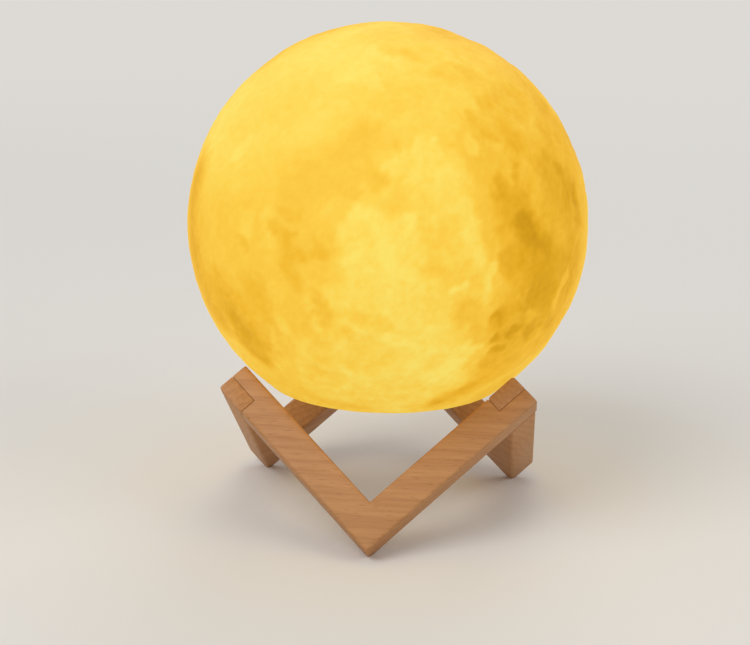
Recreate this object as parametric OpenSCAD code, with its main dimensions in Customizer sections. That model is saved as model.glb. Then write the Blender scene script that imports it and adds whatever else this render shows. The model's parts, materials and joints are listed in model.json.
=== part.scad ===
// Moon lamp: a printed moon globe, lit from a rechargeable base that closes its flat underside, resting
// loose in a wooden stand of three right-angled legs. Millimetres, +Z up, origin on the table under the
// globe's centre. The front of the lamp faces -Y.

/* [Globe] */
// Outer diameter of the moon
globe_d = 150; // [142:1:156]
// Diameter of the flat on which the moon was printed
flat_d = 90; // [84:1:94]
// Thickness of the printed moon wall
shell_wall = 2.2; // [1.6:0.1:3]
// Thickness of the flat printed floor
shell_floor = 2.4; // [1.8:0.1:3.2]
// Diameter of the opening that takes the base
opening_d = 70; // [69:0.5:74]
// Thickness of the collar around the opening
collar_wall = 2.4; // [1.6:0.1:3.2]
// Height of the collar, from the underside of the flat
collar_h = 8; // [6:0.5:10]

/* [Stand] */
// Length of each arm of a leg, along its outer edge
arm_len = 82.7; // [80:0.1:88]
// Width of the bar, across the flat of the leg
bar_w = 12.9; // [11:0.1:14]
// Thickness of the bar
bar_t = 12.6; // [11:0.1:14]
// Width of the small chamfer along the bar's edges
edge_ease = 1.1; // [0.4:0.1:2]
// Depth of the flat cut on the lowest corner of each leg
foot_cut = 1.8; // [1:0.1:3]
// Gap in the finger joints between two legs
joint_gap = 0.1; // [0.05:0.01:0.3]
// Height that keeps the moon clear of the finger joints it rests on
seat_gap = 0.35; // [0.2:0.05:0.6]

/* [Base] */
// Radial gap between the base and the moon's opening
base_gap = 0.2; // [0.1:0.05:0.4]
// Thickness of the housing wall
housing_wall = 2; // [1.6:0.1:2.6]
// Thickness of the housing floor
housing_floor = 2.2; // [1.8:0.1:3]
// Thickness of the rim that seats under the moon's flat
rim_t = 1.2; // [1:0.05:1.5]
// How far the rim reaches past the opening
rim_over = 3; // [2:0.1:4]
// Radial width of the plated trim ring
trim_w = 3.4; // [2.4:0.1:4.4]
// Thickness of the trim ring
trim_t = 0.8; // [0.6:0.05:1]
// How far the trim ring stands out of its rebate
trim_proud = 0.2; // [0.1:0.05:0.3]
// Reach of the snap hooks over the collar
hook_reach = 0.9; // [0.6:0.1:1.4]
// Height of the snap hooks
hook_h = 2.4; // [1.8:0.1:3]
// Number of snap hooks
hook_count = 4; // [2:1:6]
// Thickness of the cover over the housing
cover_t = 2; // [1.6:0.1:3]
// Depth of the cover's locating lip
lip_h = 1.6; // [1:0.1:2.4]
// Free height between the battery and the cover
cover_room = 4.8; // [4.6:0.1:6]

/* [Controls] */
// Diameter of the power button
button_d = 11; // [9:0.5:12]
// Radial gap around the power button
button_gap = 0.1; // [0.08:0.01:0.2]
// How far the button stands out of the base
button_proud = 0.3; // [0:0.1:0.5]
// Travel of the power button
button_travel = 0.5; // [0.3:0.05:0.6]
// Thickness of the button's retaining flange
button_flange_t = 0.8; // [0.6:0.1:1.2]
// How far the retaining flange reaches past the button
button_flange = 1.2; // [0.8:0.1:2]
// Gap between flat faces that only rest on each other
rest_gap = 0.05; // [0.03:0.01:0.1]
// Side of the square switch body
switch_side = 6.2; // [6:0.1:7]
// Height of the switch body
switch_h = 3.5; // [3:0.1:4.3]
// Diameter of the switch plunger
plunger_d = 3.4; // [2.6:0.1:3.8]
// How far the plunger stands out of the switch
plunger_out = 1.3; // [0.9:0.1:2]
// Radial gap between plunger and switch
plunger_gap = 0.08; // [0.04:0.01:0.1]
// Distance from the button's axis to the charging socket
socket_offset = 16; // [14.5:0.5:20]
// Width of the charging socket
socket_w = 8.94; // [8.5:0.02:9.5]
// Height of the charging socket's mouth, outside
socket_t = 3.26; // [3:0.02:3.6]
// Thickness of the socket's steel shell
socket_wall = 0.3; // [0.25:0.05:0.4]
// Gap between socket and base
socket_gap = 0.2; // [0.1:0.05:0.3]
// Depth of the socket's mouth below the base's underside
socket_recess = 0.4; // [0:0.1:0.8]
// Width of the contact tongue in the socket
tongue_w = 6.6; // [6:0.1:6.8]
// Thickness of the contact tongue
tongue_t = 0.7; // [0.6:0.05:0.9]
// Height of the socket's insulator, against the board
insulator_h = 2.2; // [1.6:0.1:3]
// Distance from the button's axis to the indicator light
indicator_offset = 13; // [11.5:0.5:18]
// Diameter of the indicator lens
indicator_d = 3; // [2:0.1:4]

/* [Board] */
// Radial gap between the control board and the housing
board_gap = 0.6; // [0.3:0.1:1]
// Thickness of the circuit boards
board_t = 1.6; // [1:0.1:2]
// Distance from the axis to the control board's screws
board_screw_r = 27; // [26:0.5:28]
// Diameter of the screw bosses
boss_d = 6; // [5:0.2:6.6]
// Diameter of the screw shanks
screw_d = 2.2; // [1.8:0.1:2.6]
// Diameter of the screw heads
head_d = 4.4; // [3.8:0.1:4.8]
// Height of the screw heads
head_h = 1.4; // [1:0.1:1.8]
// Length of the screw shanks
screw_len = 6; // [5:0.5:7]
// Play between screw shank and thread bore, on the radius
thread_gap = 0.05; // [0.03:0.01:0.08]
// Play between screw shank and the piece it passes through, on the radius
pass_gap = 0.3; // [0.2:0.05:0.4]

/* [Battery] */
// Length of the battery
battery_l = 40; // [36:1:42]
// Width of the battery
battery_w = 25; // [20:1:26]
// Thickness of the battery
battery_t = 6; // [4:0.5:8]
// Thickness of the foam pad under the battery
pad_t = 1; // [0.5:0.1:2]
// Diameter of the wires
wire_d = 1.2; // [0.8:0.1:1.4]
// Distance between the two wires of a pair
wire_pitch = 1.8; // [1.6:0.1:2.2]

/* [Light] */
// Diameter of the light board
light_board_d = 30; // [28:0.5:31]
// Number of light-emitting chips
led_count = 12; // [8:2:14]
// Distance from the light board's edge to the middle of the light-emitting chips
led_edge = 3.7; // [3.2:0.1:4.2]
// Length of a light-emitting chip
led_l = 3.5; // [2.8:0.1:4]
// Width of a light-emitting chip
led_w = 2.8; // [2:0.1:3.2]
// Height of a light-emitting chip
led_h = 0.8; // [0.6:0.1:1.2]
// Distance from the axis to the light board's screws
light_screw_r = 5.5; // [5:0.1:6]
// Gap between the ring that holds the diffuser and the heads of the cover's screws
keeper_clear = 0.8; // [0.4:0.1:2]
// Height of the diffuser dome
dome_h = 13; // [11:0.5:16]
// Thickness of the diffuser dome
dome_wall = 1.6; // [1.2:0.1:2]
// Radial reach of the diffuser's foot
dome_foot = 2; // [1.5:0.1:2.2]
// Height of the diffuser's foot and of the ring that holds it
dome_foot_h = 1.5; // [1:0.1:2]

/* [Hidden] */
$fn = 96;
// How far a cut runs past the solid it cuts, and how far joined solids run into each other
over = 1;
sink = 0.1;

// Stand: each leg's flat leans inwards, as one face of a cube that stands on its corner.
lean = atan(1 / sqrt(2));
leg_angles = [0, 120, 240];
leg_r = arm_len * sqrt(2 / 3);
leg_z = bar_t / sqrt(3) - foot_cut;
joint_r = (arm_len - bar_w) * sqrt(2 / 3);
joint_z = leg_z + (arm_len + bar_w) / sqrt(3);

// Globe
globe_r = globe_d / 2;
flat_r = flat_d / 2;
flat_depth = sqrt(globe_r * globe_r - flat_r * flat_r);
globe_z = joint_z + sqrt(globe_r * globe_r - joint_r * joint_r) + seat_gap;
flat_z = globe_z - flat_depth;
opening_r = opening_d / 2;

// Base, with its heights taken from the underside of the moon's flat
housing_r = opening_r - base_gap;
housing_in = housing_r - housing_wall;
rim_r = opening_r + rim_over;
under_z = -rim_t;
floor_z = under_z + housing_floor;
trim_rebate = trim_t - trim_proud;
trim_gap = 0.1;
hook_z = collar_h + base_gap;
hook_angle = 16;
hook_land = hook_h / 4;

// Controls
button_r = button_d / 2;
stem_d = 3.2;
stem_h = 0.5;
button_top = floor_z + rest_gap + button_flange_t + stem_h;
switch_z = button_top + plunger_out;
board_z = switch_z + switch_h;
plunger_in = 1.5;
plunger_room = 0.2;
plunger_bore = plunger_in + button_travel + plunger_room;
indicator_led_size = [3.2, 1.8, 1.2];
indicator_gap = 0.2;
lens_top = board_z - indicator_led_size.z - indicator_gap;
lens_flange = 0.8;
lens_flange_t = 0.8;
lens_gap = 0.05;
socket_z = under_z + socket_recess;
tongue_back = 1;
insulator_gap = 0.05;

// Board and cover
board_r = housing_in - board_gap;
board_top = board_z + board_t;
board_screw_angles = [90, 210, 330];
boss_r = boss_d / 2;
column_bite = 0.7;
column_r = housing_in - boss_r + column_bite;
column_angles = [45, 135, 225, 315];
column_gap = 0.5;
thread_r = screw_d / 2 + thread_gap;
thread_room = 0.5;
pass_r = screw_d / 2 + pass_gap;
battery_z = board_top + pad_t;
cover_z = battery_z + battery_t + cover_room;
cover_top = cover_z + cover_t;
lip_gap = 0.2;
lip_wall = 1.6;
slot_w = 0.5;
slot_depth = 0.6;
slot_l = head_d * 0.6;

// Battery
pad_margin = 2;
guard_l = 2.4;
cell_l = battery_l - guard_l;
battery_end = battery_l / 2;
lead_out = 0.6;
lead_bend = 2.6;
lead_run = 6;
lead_z = battery_z + battery_t / 2;
lead_r = [lead_bend, lead_bend + wire_pitch];
bend_y = -3;
plug_x = battery_end + lead_out + lead_bend + wire_pitch / 2;
plug_y = bend_y + lead_run;
plug_wall = 0.6;
plug_size = [wire_pitch + wire_d + 2 * plug_wall, 4.6, 3];
plug_show = 1.4;
plug_gap = 0.1;
header_wall = 0.8;
header_size = [
    plug_size.x + 2 * (plug_gap + header_wall),
    plug_size.y - plug_show + plug_gap + header_wall,
    lead_z + plug_size.z / 2 + plug_gap + header_wall - board_top
];

// Light
light_r = light_board_d / 2;
led_r = light_r - led_edge;
light_z = cover_top + board_t;
wire_r = wire_d / 2;
wire_lay = 0.05;
light_bend = 1.9;
light_run = 1.8;
riser_gap = 0.2;
riser_hole_r = wire_pitch / 2 + wire_r + riser_gap;
riser_y = light_r + riser_gap + riser_hole_r;
riser_top = light_z + wire_r + wire_lay;
keeper_gap = 0.15;
keeper_wall = 1.1;
dome_foot_r = column_r - head_d / 2 - keeper_clear - keeper_wall - keeper_gap;
dome_r = dome_foot_r - dome_foot;
dome_ball = (dome_r * dome_r + dome_h * dome_h) / (2 * dome_h);
light_boss_d = 5;
light_screw_bite = 1.8;
light_screw_len = board_t + cover_t + light_screw_bite;
light_boss_room = 1;
light_boss_h = cover_room - light_boss_room;

// Parts of the electronics: [x, y, length, width, height]
chips = [[-9, 19, 5, 4, 1.5], [9, 19, 5, 4, 1.5], [0, 21.5, 3, 3, 1.1]];
coil_place = [12.5, -20.5, 6, 6, 3];
coil_core_d = 4.4;
capacitor_places = [[-9, -19.5], [-14, -17.8]];
capacitor_d = 4;
capacitor_h = 5;

module ring_of(angles, r) {
    for (a = angles) rotate(a) translate([r, 0, 0]) children();
}

module tube(r_out, r_in, h) {
    difference() {
        cylinder(h = h, r = r_out);
        translate([0, 0, -over]) cylinder(h = h + 2 * over, r = r_in);
    }
}

module block(x, y, z) {
    translate([-x / 2, -y / 2, 0]) cube([x, y, z]);
}

// A slot with round ends, along X
module stadium(w, t) {
    union() {
        square([w - t, t], center = true);
        for (s = [-1, 1]) translate([s * (w - t) / 2, 0]) circle(d = t, $fn = 48);
    }
}

// The square bar's section with its four edges eased
module bar_section() {
    e = edge_ease;
    polygon([
        [e, 0], [bar_w - e, 0], [bar_w, -e], [bar_w, e - bar_t],
        [bar_w - e, -bar_t], [e, -bar_t], [0, e - bar_t], [0, -e]
    ]);
}

// One arm, from the corner along X, cut to its half of the mitre
module mitred_arm() {
    reach = arm_len + over;
    intersection() {
        rotate([90, 0, 90]) linear_extrude(height = arm_len) bar_section();
        translate([0, 0, -bar_t - over]) linear_extrude(height = bar_t + 2 * over)
            polygon([[-over, -over], [reach, -over], [reach, bar_w + over], [bar_w + over, bar_w + over]]);
    }
}

// The place of the neighbour's finger in an arm's end, between two heights of the bar
module finger_slot(low, high) {
    translate([arm_len - bar_t - joint_gap, low, -bar_t - over])
        cube([bar_t + joint_gap + over, high - low, bar_t + 2 * over]);
}

module leg_board() {
    difference() {
        union() {
            mitred_arm();
            mirror([1, -1, 0]) mitred_arm();
        }
        finger_slot(bar_w / 2 - joint_gap / 2, bar_w + over);
        mirror([1, -1, 0]) finger_slot(-over, bar_w / 2 + joint_gap / 2);
    }
}

module leg(index) {
    rotate(leg_angles[index]) difference() {
        translate([0, -leg_r, leg_z]) rotate([90 - lean, 0, 0]) rotate(45) leg_board();
        translate([-arm_len, -2 * arm_len, -arm_len]) cube([2 * arm_len, 3 * arm_len, arm_len]);
    }
}

module leg_front() { color("burlywood") leg(0); }
module leg_right() { color("burlywood") leg(1); }
module leg_left() { color("burlywood") leg(2); }

module moon_shell() {
    inner_r = globe_r - shell_wall;
    color("gold") translate([0, 0, globe_z]) {
        difference() {
            sphere(r = globe_r, $fn = 180);
            difference() {
                sphere(r = inner_r, $fn = 180);
                translate([-globe_r, -globe_r, -globe_r - flat_depth + shell_floor])
                    cube([globe_d, globe_d, globe_r]);
            }
            translate([-globe_r, -globe_r, -globe_r - flat_depth]) cube([globe_d, globe_d, globe_r]);
            translate([0, 0, -globe_r]) cylinder(h = globe_r, r = opening_r);
        }
        translate([0, 0, -flat_depth]) tube(opening_r + collar_wall, opening_r, collar_h);
    }
}

// Places what belongs to the base on the underside of the moon's flat
module on_base() {
    translate([0, 0, flat_z]) children();
}

// The cup with its rim, and the rebate in the rim that takes the trim ring
module housing_cup() {
    rebate_r = rim_r - trim_w - trim_gap;
    rotate_extrude() polygon([
        [0, under_z], [rebate_r, under_z], [rebate_r, under_z + trim_rebate],
        [rim_r, under_z + trim_rebate], [rim_r, 0], [housing_r, 0], [housing_r, cover_z],
        [housing_in, cover_z], [housing_in, floor_z], [0, floor_z]
    ]);
}

module hook() {
    root_r = housing_r - housing_wall / 2;
    tip_r = housing_r + hook_reach;
    rotate(-hook_angle / 2) rotate_extrude(angle = hook_angle) polygon([
        [root_r, hook_z], [tip_r, hook_z], [tip_r, hook_z + hook_land], [root_r, hook_z + hook_h]
    ]);
}

module boss(h, bore_depth) {
    difference() {
        cylinder(h = h, r = boss_r, $fn = 48);
        translate([0, 0, h - bore_depth]) cylinder(h = bore_depth + over, r = thread_r, $fn = 48);
    }
}

module base_housing() {
    bore_depth = screw_len + thread_room;
    color("white") on_base() difference() {
        union() {
            housing_cup();
            ring_of([for (i = [0 : hook_count - 1]) i * 360 / hook_count], 0) hook();
            translate([0, 0, floor_z - sink])
                ring_of(board_screw_angles, board_screw_r) boss(board_z - floor_z + sink, bore_depth);
            translate([0, 0, floor_z - sink])
                ring_of(column_angles, column_r) boss(cover_z - rest_gap - floor_z + sink, bore_depth);
        }
        translate([0, 0, under_z - over]) cylinder(h = housing_floor + 2 * over, r = button_r + button_gap);
        translate([0, indicator_offset, under_z - over])
            cylinder(h = housing_floor + 2 * over, r = indicator_d / 2 + lens_gap, $fn = 48);
        translate([0, -socket_offset, under_z - over]) linear_extrude(height = housing_floor + 2 * over)
            stadium(socket_w + 2 * socket_gap, socket_t + 2 * socket_gap);
    }
}

module trim_ring() {
    color("silver") on_base() translate([0, 0, under_z - trim_proud])
        tube(rim_r, rim_r - trim_w, trim_t);
}

module power_button() {
    color("lightgrey") on_base() {
        translate([0, 0, under_z - button_proud])
            cylinder(h = housing_floor + rest_gap + button_proud + button_flange_t, r = button_r);
        translate([0, 0, floor_z + rest_gap]) cylinder(h = button_flange_t, r = button_r + button_flange);
        translate([0, 0, floor_z + rest_gap]) cylinder(h = button_flange_t + stem_h, d = stem_d);
    }
}

module switch_plunger() {
    color("dimgray") on_base() translate([0, 0, button_top])
        cylinder(h = plunger_out + plunger_in, d = plunger_d, $fn = 48);
}

module switch_body() {
    bore_r = plunger_d / 2 + plunger_gap;
    color("black") on_base() translate([0, 0, switch_z]) difference() {
        block(switch_side, switch_side, switch_h);
        translate([0, 0, -over]) cylinder(h = plunger_bore + over, r = bore_r, $fn = 48);
    }
}

module indicator_lens() {
    color("lightcyan") on_base() translate([0, indicator_offset, 0]) {
        translate([0, 0, under_z]) cylinder(h = lens_top - under_z, d = indicator_d, $fn = 48);
        translate([0, 0, floor_z]) cylinder(h = lens_flange_t, r = indicator_d / 2 + lens_flange, $fn = 48);
    }
}

module indicator_led() {
    size = indicator_led_size;
    color("ivory") on_base() translate([0, indicator_offset, board_z - size.z])
        block(size.x, size.y, size.z);
}

module socket_shell() {
    color("silver") on_base() translate([0, -socket_offset, socket_z])
        linear_extrude(height = board_z - socket_z) difference() {
            stadium(socket_w, socket_t);
            stadium(socket_w - 2 * socket_wall, socket_t - 2 * socket_wall);
        }
}

module socket_insulator() {
    inset = 2 * (socket_wall + insulator_gap);
    color("black") on_base() translate([0, -socket_offset, 0]) {
        translate([0, 0, board_z - insulator_h]) linear_extrude(height = insulator_h)
            stadium(socket_w - inset, socket_t - inset);
        translate([0, 0, socket_z + tongue_back])
            block(tongue_w, tongue_t, board_z - insulator_h / 2 - socket_z - tongue_back);
    }
}

module control_board() {
    color("green") on_base() translate([0, 0, board_z]) difference() {
        cylinder(h = board_t, r = board_r);
        translate([0, 0, -over]) {
            ring_of(board_screw_angles, board_screw_r)
                cylinder(h = board_t + 2 * over, r = pass_r, $fn = 48);
            ring_of(column_angles, column_r) cylinder(h = board_t + 2 * over, r = boss_r + column_gap);
            ring_of(column_angles, column_r) translate([0, -boss_r - column_gap, 0])
                cube([2 * boss_r, 2 * (boss_r + column_gap), board_t + 2 * over]);
        }
    }
}

// A screw whose head sits on z = 0 and whose shank points down
module screw(length) {
    difference() {
        cylinder(h = head_h, d = head_d, $fn = 48);
        for (turn = [0, 90]) rotate(turn) translate([0, 0, head_h - slot_depth])
            block(slot_l, slot_w, slot_depth + over);
    }
    translate([0, 0, -length]) cylinder(h = length + head_h - slot_depth, d = screw_d, $fn = 48);
}

module board_screws() {
    color("silver") on_base() translate([0, 0, board_top]) ring_of(board_screw_angles, board_screw_r)
        screw(screw_len);
}

module control_chips() {
    color("black") on_base() for (c = chips) translate([c[0], c[1], board_top]) block(c[2], c[3], c[4]);
}

module inductor() {
    place = coil_place;
    flange_h = place[4] / 4;
    color("dimgray") on_base() translate([place[0], place[1], board_top]) {
        block(place[2], place[3], flange_h);
        cylinder(h = place[4], d = coil_core_d, $fn = 48);
        translate([0, 0, place[4] - flange_h]) block(place[2], place[3], flange_h);
    }
}

module capacitors() {
    color("silver") on_base() for (p = capacitor_places) translate([p[0], p[1], board_top])
        cylinder(h = capacitor_h, d = capacitor_d, $fn = 48);
}

module battery_pad() {
    color("gray") on_base() translate([0, 0, board_top])
        block(battery_l - 2 * pad_margin, battery_w - 2 * pad_margin, pad_t);
}

module battery() {
    side_r = battery_t / 2;
    color("silver") on_base() translate([-battery_end, 0, battery_z + side_r]) rotate([90, 0, 90])
        linear_extrude(height = cell_l) stadium(battery_w, battery_t);
}

module battery_guard() {
    side = battery_w - battery_t;
    color("goldenrod") on_base() translate([battery_end - guard_l / 2, 0, battery_z])
        block(guard_l, side, battery_t);
}

module battery_header() {
    mouth_y = plug_y + plug_show;
    cavity = [plug_size.x + 2 * plug_gap, header_size.y - header_wall + over, plug_size.z + 2 * plug_gap];
    color("ivory") on_base() difference() {
        translate([plug_x, mouth_y + header_size.y / 2, board_top])
            block(header_size.x, header_size.y, header_size.z);
        translate([plug_x - cavity.x / 2, mouth_y - over, lead_z - cavity.z / 2]) cube(cavity);
    }
}

module battery_plug() {
    color("ivory") on_base() translate([plug_x, plug_y + plug_size.y / 2, lead_z - plug_size.z / 2])
        block(plug_size.x, plug_size.y, plug_size.z);
}

// A wire from the battery's end, round a quarter bend, to the plug
module battery_wire(bend_r) {
    bend_x = battery_end + lead_out;
    on_base() translate([0, 0, lead_z]) {
        translate([battery_end, bend_y - bend_r, 0]) rotate([0, 90, 0])
            cylinder(h = lead_out, r = wire_r, $fn = 24);
        translate([bend_x, bend_y, 0]) rotate(-90) rotate_extrude(angle = 90)
            translate([bend_r, 0]) circle(r = wire_r, $fn = 24);
        translate([bend_x + bend_r, bend_y, 0]) rotate([-90, 0, 0])
            cylinder(h = plug_y - bend_y, r = wire_r, $fn = 24);
    }
}

module battery_wire_red() { color("red") battery_wire(lead_r[0]); }
module battery_wire_black() { color("black") battery_wire(lead_r[1]); }

// A wire that rises from the control board through the cover and bends over onto the light board
module light_wire(side) {
    x = side * wire_pitch / 2;
    rise = riser_top - light_bend - board_top;
    on_base() {
        translate([x, -riser_y, board_top]) cylinder(h = rise, r = wire_r, $fn = 24);
        translate([x, -riser_y + light_bend, board_top + rise]) rotate([90, 0, -90])
            rotate_extrude(angle = 90) translate([light_bend, 0]) circle(r = wire_r, $fn = 24);
        translate([x, -riser_y + light_bend, riser_top]) rotate([-90, 0, 0])
            cylinder(h = light_run, r = wire_r, $fn = 24);
    }
}

module light_wire_red() { color("red") light_wire(1); }
module light_wire_black() { color("black") light_wire(-1); }

module base_cover() {
    color("white") on_base() difference() {
        union() {
            translate([0, 0, cover_z]) cylinder(h = cover_t, r = housing_r);
            difference() {
                translate([0, 0, cover_z - lip_h])
                    tube(housing_in - lip_gap, housing_in - lip_gap - lip_wall, lip_h + sink);
                ring_of(column_angles, column_r) translate([0, 0, cover_z - lip_h - over])
                    cylinder(h = lip_h + over, r = boss_r + column_gap);
            }
            translate([0, 0, cover_top - sink])
                tube(dome_foot_r + keeper_gap + keeper_wall, dome_foot_r + keeper_gap, dome_foot_h + sink);
            ring_of([0, 180], light_screw_r) translate([0, 0, cover_z - light_boss_h])
                cylinder(h = light_boss_h + sink, d = light_boss_d, $fn = 48);
        }
        ring_of(column_angles, column_r) translate([0, 0, cover_z - over])
            cylinder(h = cover_t + 2 * over, r = pass_r, $fn = 48);
        ring_of([0, 180], light_screw_r) translate([0, 0, light_z - light_screw_len - thread_room])
            cylinder(h = light_screw_len + over, r = thread_r, $fn = 48);
        translate([0, -riser_y, cover_z - over])
            cylinder(h = cover_t + 2 * over, r = riser_hole_r, $fn = 48);
    }
}

module cover_screws() {
    color("silver") on_base() translate([0, 0, cover_top]) ring_of(column_angles, column_r)
        screw(screw_len);
}

module light_board() {
    color("whitesmoke") on_base() translate([0, 0, cover_top]) difference() {
        cylinder(h = board_t, r = light_r);
        ring_of([0, 180], light_screw_r) translate([0, 0, -over])
            cylinder(h = board_t + 2 * over, r = pass_r, $fn = 48);
    }
}

module light_screws() {
    color("silver") on_base() translate([0, 0, light_z]) ring_of([0, 180], light_screw_r)
        screw(light_screw_len);
}

module light_chips() {
    step = 360 / led_count;
    color("khaki") on_base() translate([0, 0, light_z])
        ring_of([for (i = [0 : led_count - 1]) -90 + (i + 0.5) * step], led_r) block(led_w, led_l, led_h);
}

module diffuser() {
    color("white") on_base() translate([0, 0, cover_top]) difference() {
        union() {
            intersection() {
                translate([0, 0, dome_h - dome_ball]) sphere(r = dome_ball);
                cylinder(h = dome_h + over, r = dome_foot_r);
            }
            cylinder(h = dome_foot_h, r = dome_foot_r);
        }
        translate([0, 0, dome_h - dome_ball]) sphere(r = dome_ball - dome_wall);
    }
}

leg_front();
leg_right();
leg_left();
moon_shell();
base_housing();
trim_ring();
power_button();
switch_plunger();
switch_body();
indicator_lens();
indicator_led();
socket_shell();
socket_insulator();
control_board();
board_screws();
control_chips();
inductor();
capacitors();
battery_pad();
battery();
battery_guard();
battery_header();
battery_plug();
battery_wire_red();
battery_wire_black();
light_wire_red();
light_wire_black();
base_cover();
cover_screws();
light_board();
light_screws();
light_chips();
diffuser();
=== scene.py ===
"""The looks of a moon lamp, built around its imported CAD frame.

A printed moon, lit warm from inside, rests in a wooden stand of three right-angled legs. The moon's relief,
the legs with their eased edges, and the base's housing, ring and button are modelled here. The parts inside
the base keep their CAD shape and get their finish. All lengths are metres, +Z is up, and the front of the
lamp faces -Y.
"""

import json
import logging
import math
from collections.abc import Callable, Iterable, Iterator
from contextlib import contextmanager
from dataclasses import dataclass, field
from enum import Enum

import bmesh
import bpy
import numpy as np
from mathutils import Matrix, Vector, noise


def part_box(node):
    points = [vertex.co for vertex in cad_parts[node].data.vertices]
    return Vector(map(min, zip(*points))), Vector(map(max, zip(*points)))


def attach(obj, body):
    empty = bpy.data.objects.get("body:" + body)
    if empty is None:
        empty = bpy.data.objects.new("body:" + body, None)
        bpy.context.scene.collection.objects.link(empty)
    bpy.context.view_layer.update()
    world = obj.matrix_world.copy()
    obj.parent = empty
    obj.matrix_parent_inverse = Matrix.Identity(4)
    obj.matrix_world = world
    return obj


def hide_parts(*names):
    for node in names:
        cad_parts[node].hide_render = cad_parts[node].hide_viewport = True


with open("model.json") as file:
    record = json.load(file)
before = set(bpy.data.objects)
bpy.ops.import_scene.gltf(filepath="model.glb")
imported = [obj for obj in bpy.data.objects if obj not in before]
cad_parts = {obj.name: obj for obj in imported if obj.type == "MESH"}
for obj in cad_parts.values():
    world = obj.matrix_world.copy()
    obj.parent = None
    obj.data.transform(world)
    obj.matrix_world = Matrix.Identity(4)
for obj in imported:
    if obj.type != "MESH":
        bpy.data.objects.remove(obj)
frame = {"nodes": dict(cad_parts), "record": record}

log = logging.getLogger("moon_lamp")

MM = 0.001
HAIR = 0.01 * MM
SPECK = 0.001 * MM
Colour = tuple[float, float, float]


def srgb(red: int, green: int, blue: int) -> Colour:
    """Turns a colour as it looks on a screen into the linear one that a shader takes.

    Args:
        red: Red, from 0 to 255.
        green: Green, from 0 to 255.
        blue: Blue, from 0 to 255.

    Returns:
        The linear colour.
    """
    linear = []
    for level in (red / 255, green / 255, blue / 255):
        linear.append(level / 12.92 if level <= 0.04045 else ((level + 0.055) / 1.055) ** 2.4)
    return tuple(linear)


def scaled(colour: Colour, factor: float) -> Colour:
    """Returns a colour with its three levels multiplied by a factor."""
    return tuple(level * factor for level in colour)


# --------------------------------------------------------------------------------------------- shader kit


class Value:
    """A number on a shader's socket, on which Python's operators add Math nodes."""

    def __init__(self, shader: "Shader", socket: bpy.types.NodeSocket) -> None:
        """Wraps a socket of a shader."""
        self.shader = shader
        self.socket = socket

    def _math(self, operation: str, *operands: "Value | float") -> "Value":
        """Adds a Math node on one or two operands."""
        return self.shader.value("ShaderNodeMath", {"operation": operation}, dict(enumerate(operands)))

    def __add__(self, other: "Value | float") -> "Value":
        """Adds."""
        return self._math("ADD", self, other)

    def __sub__(self, other: "Value | float") -> "Value":
        """Subtracts."""
        return self._math("SUBTRACT", self, other)

    def __mul__(self, other: "Value | float") -> "Value":
        """Multiplies."""
        return self._math("MULTIPLY", self, other)

    __radd__ = __add__
    __rmul__ = __mul__

    def fraction(self) -> "Value":
        """Keeps what comes after the decimal point."""
        return self._math("FRACT", self)

    def between(self, low: float, high: float) -> "Value":
        """Rises smoothly from 0 at low to 1 at high.

        Args:
            low: Where the result is 0.
            high: Where the result is 1.

        Returns:
            The smooth step.
        """
        range_of = {"Value": self, "From Min": low, "From Max": high}
        smoothly = {"interpolation_type": "SMOOTHSTEP"}
        return self.shader.value("ShaderNodeMapRange", smoothly, range_of, "Result")


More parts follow.
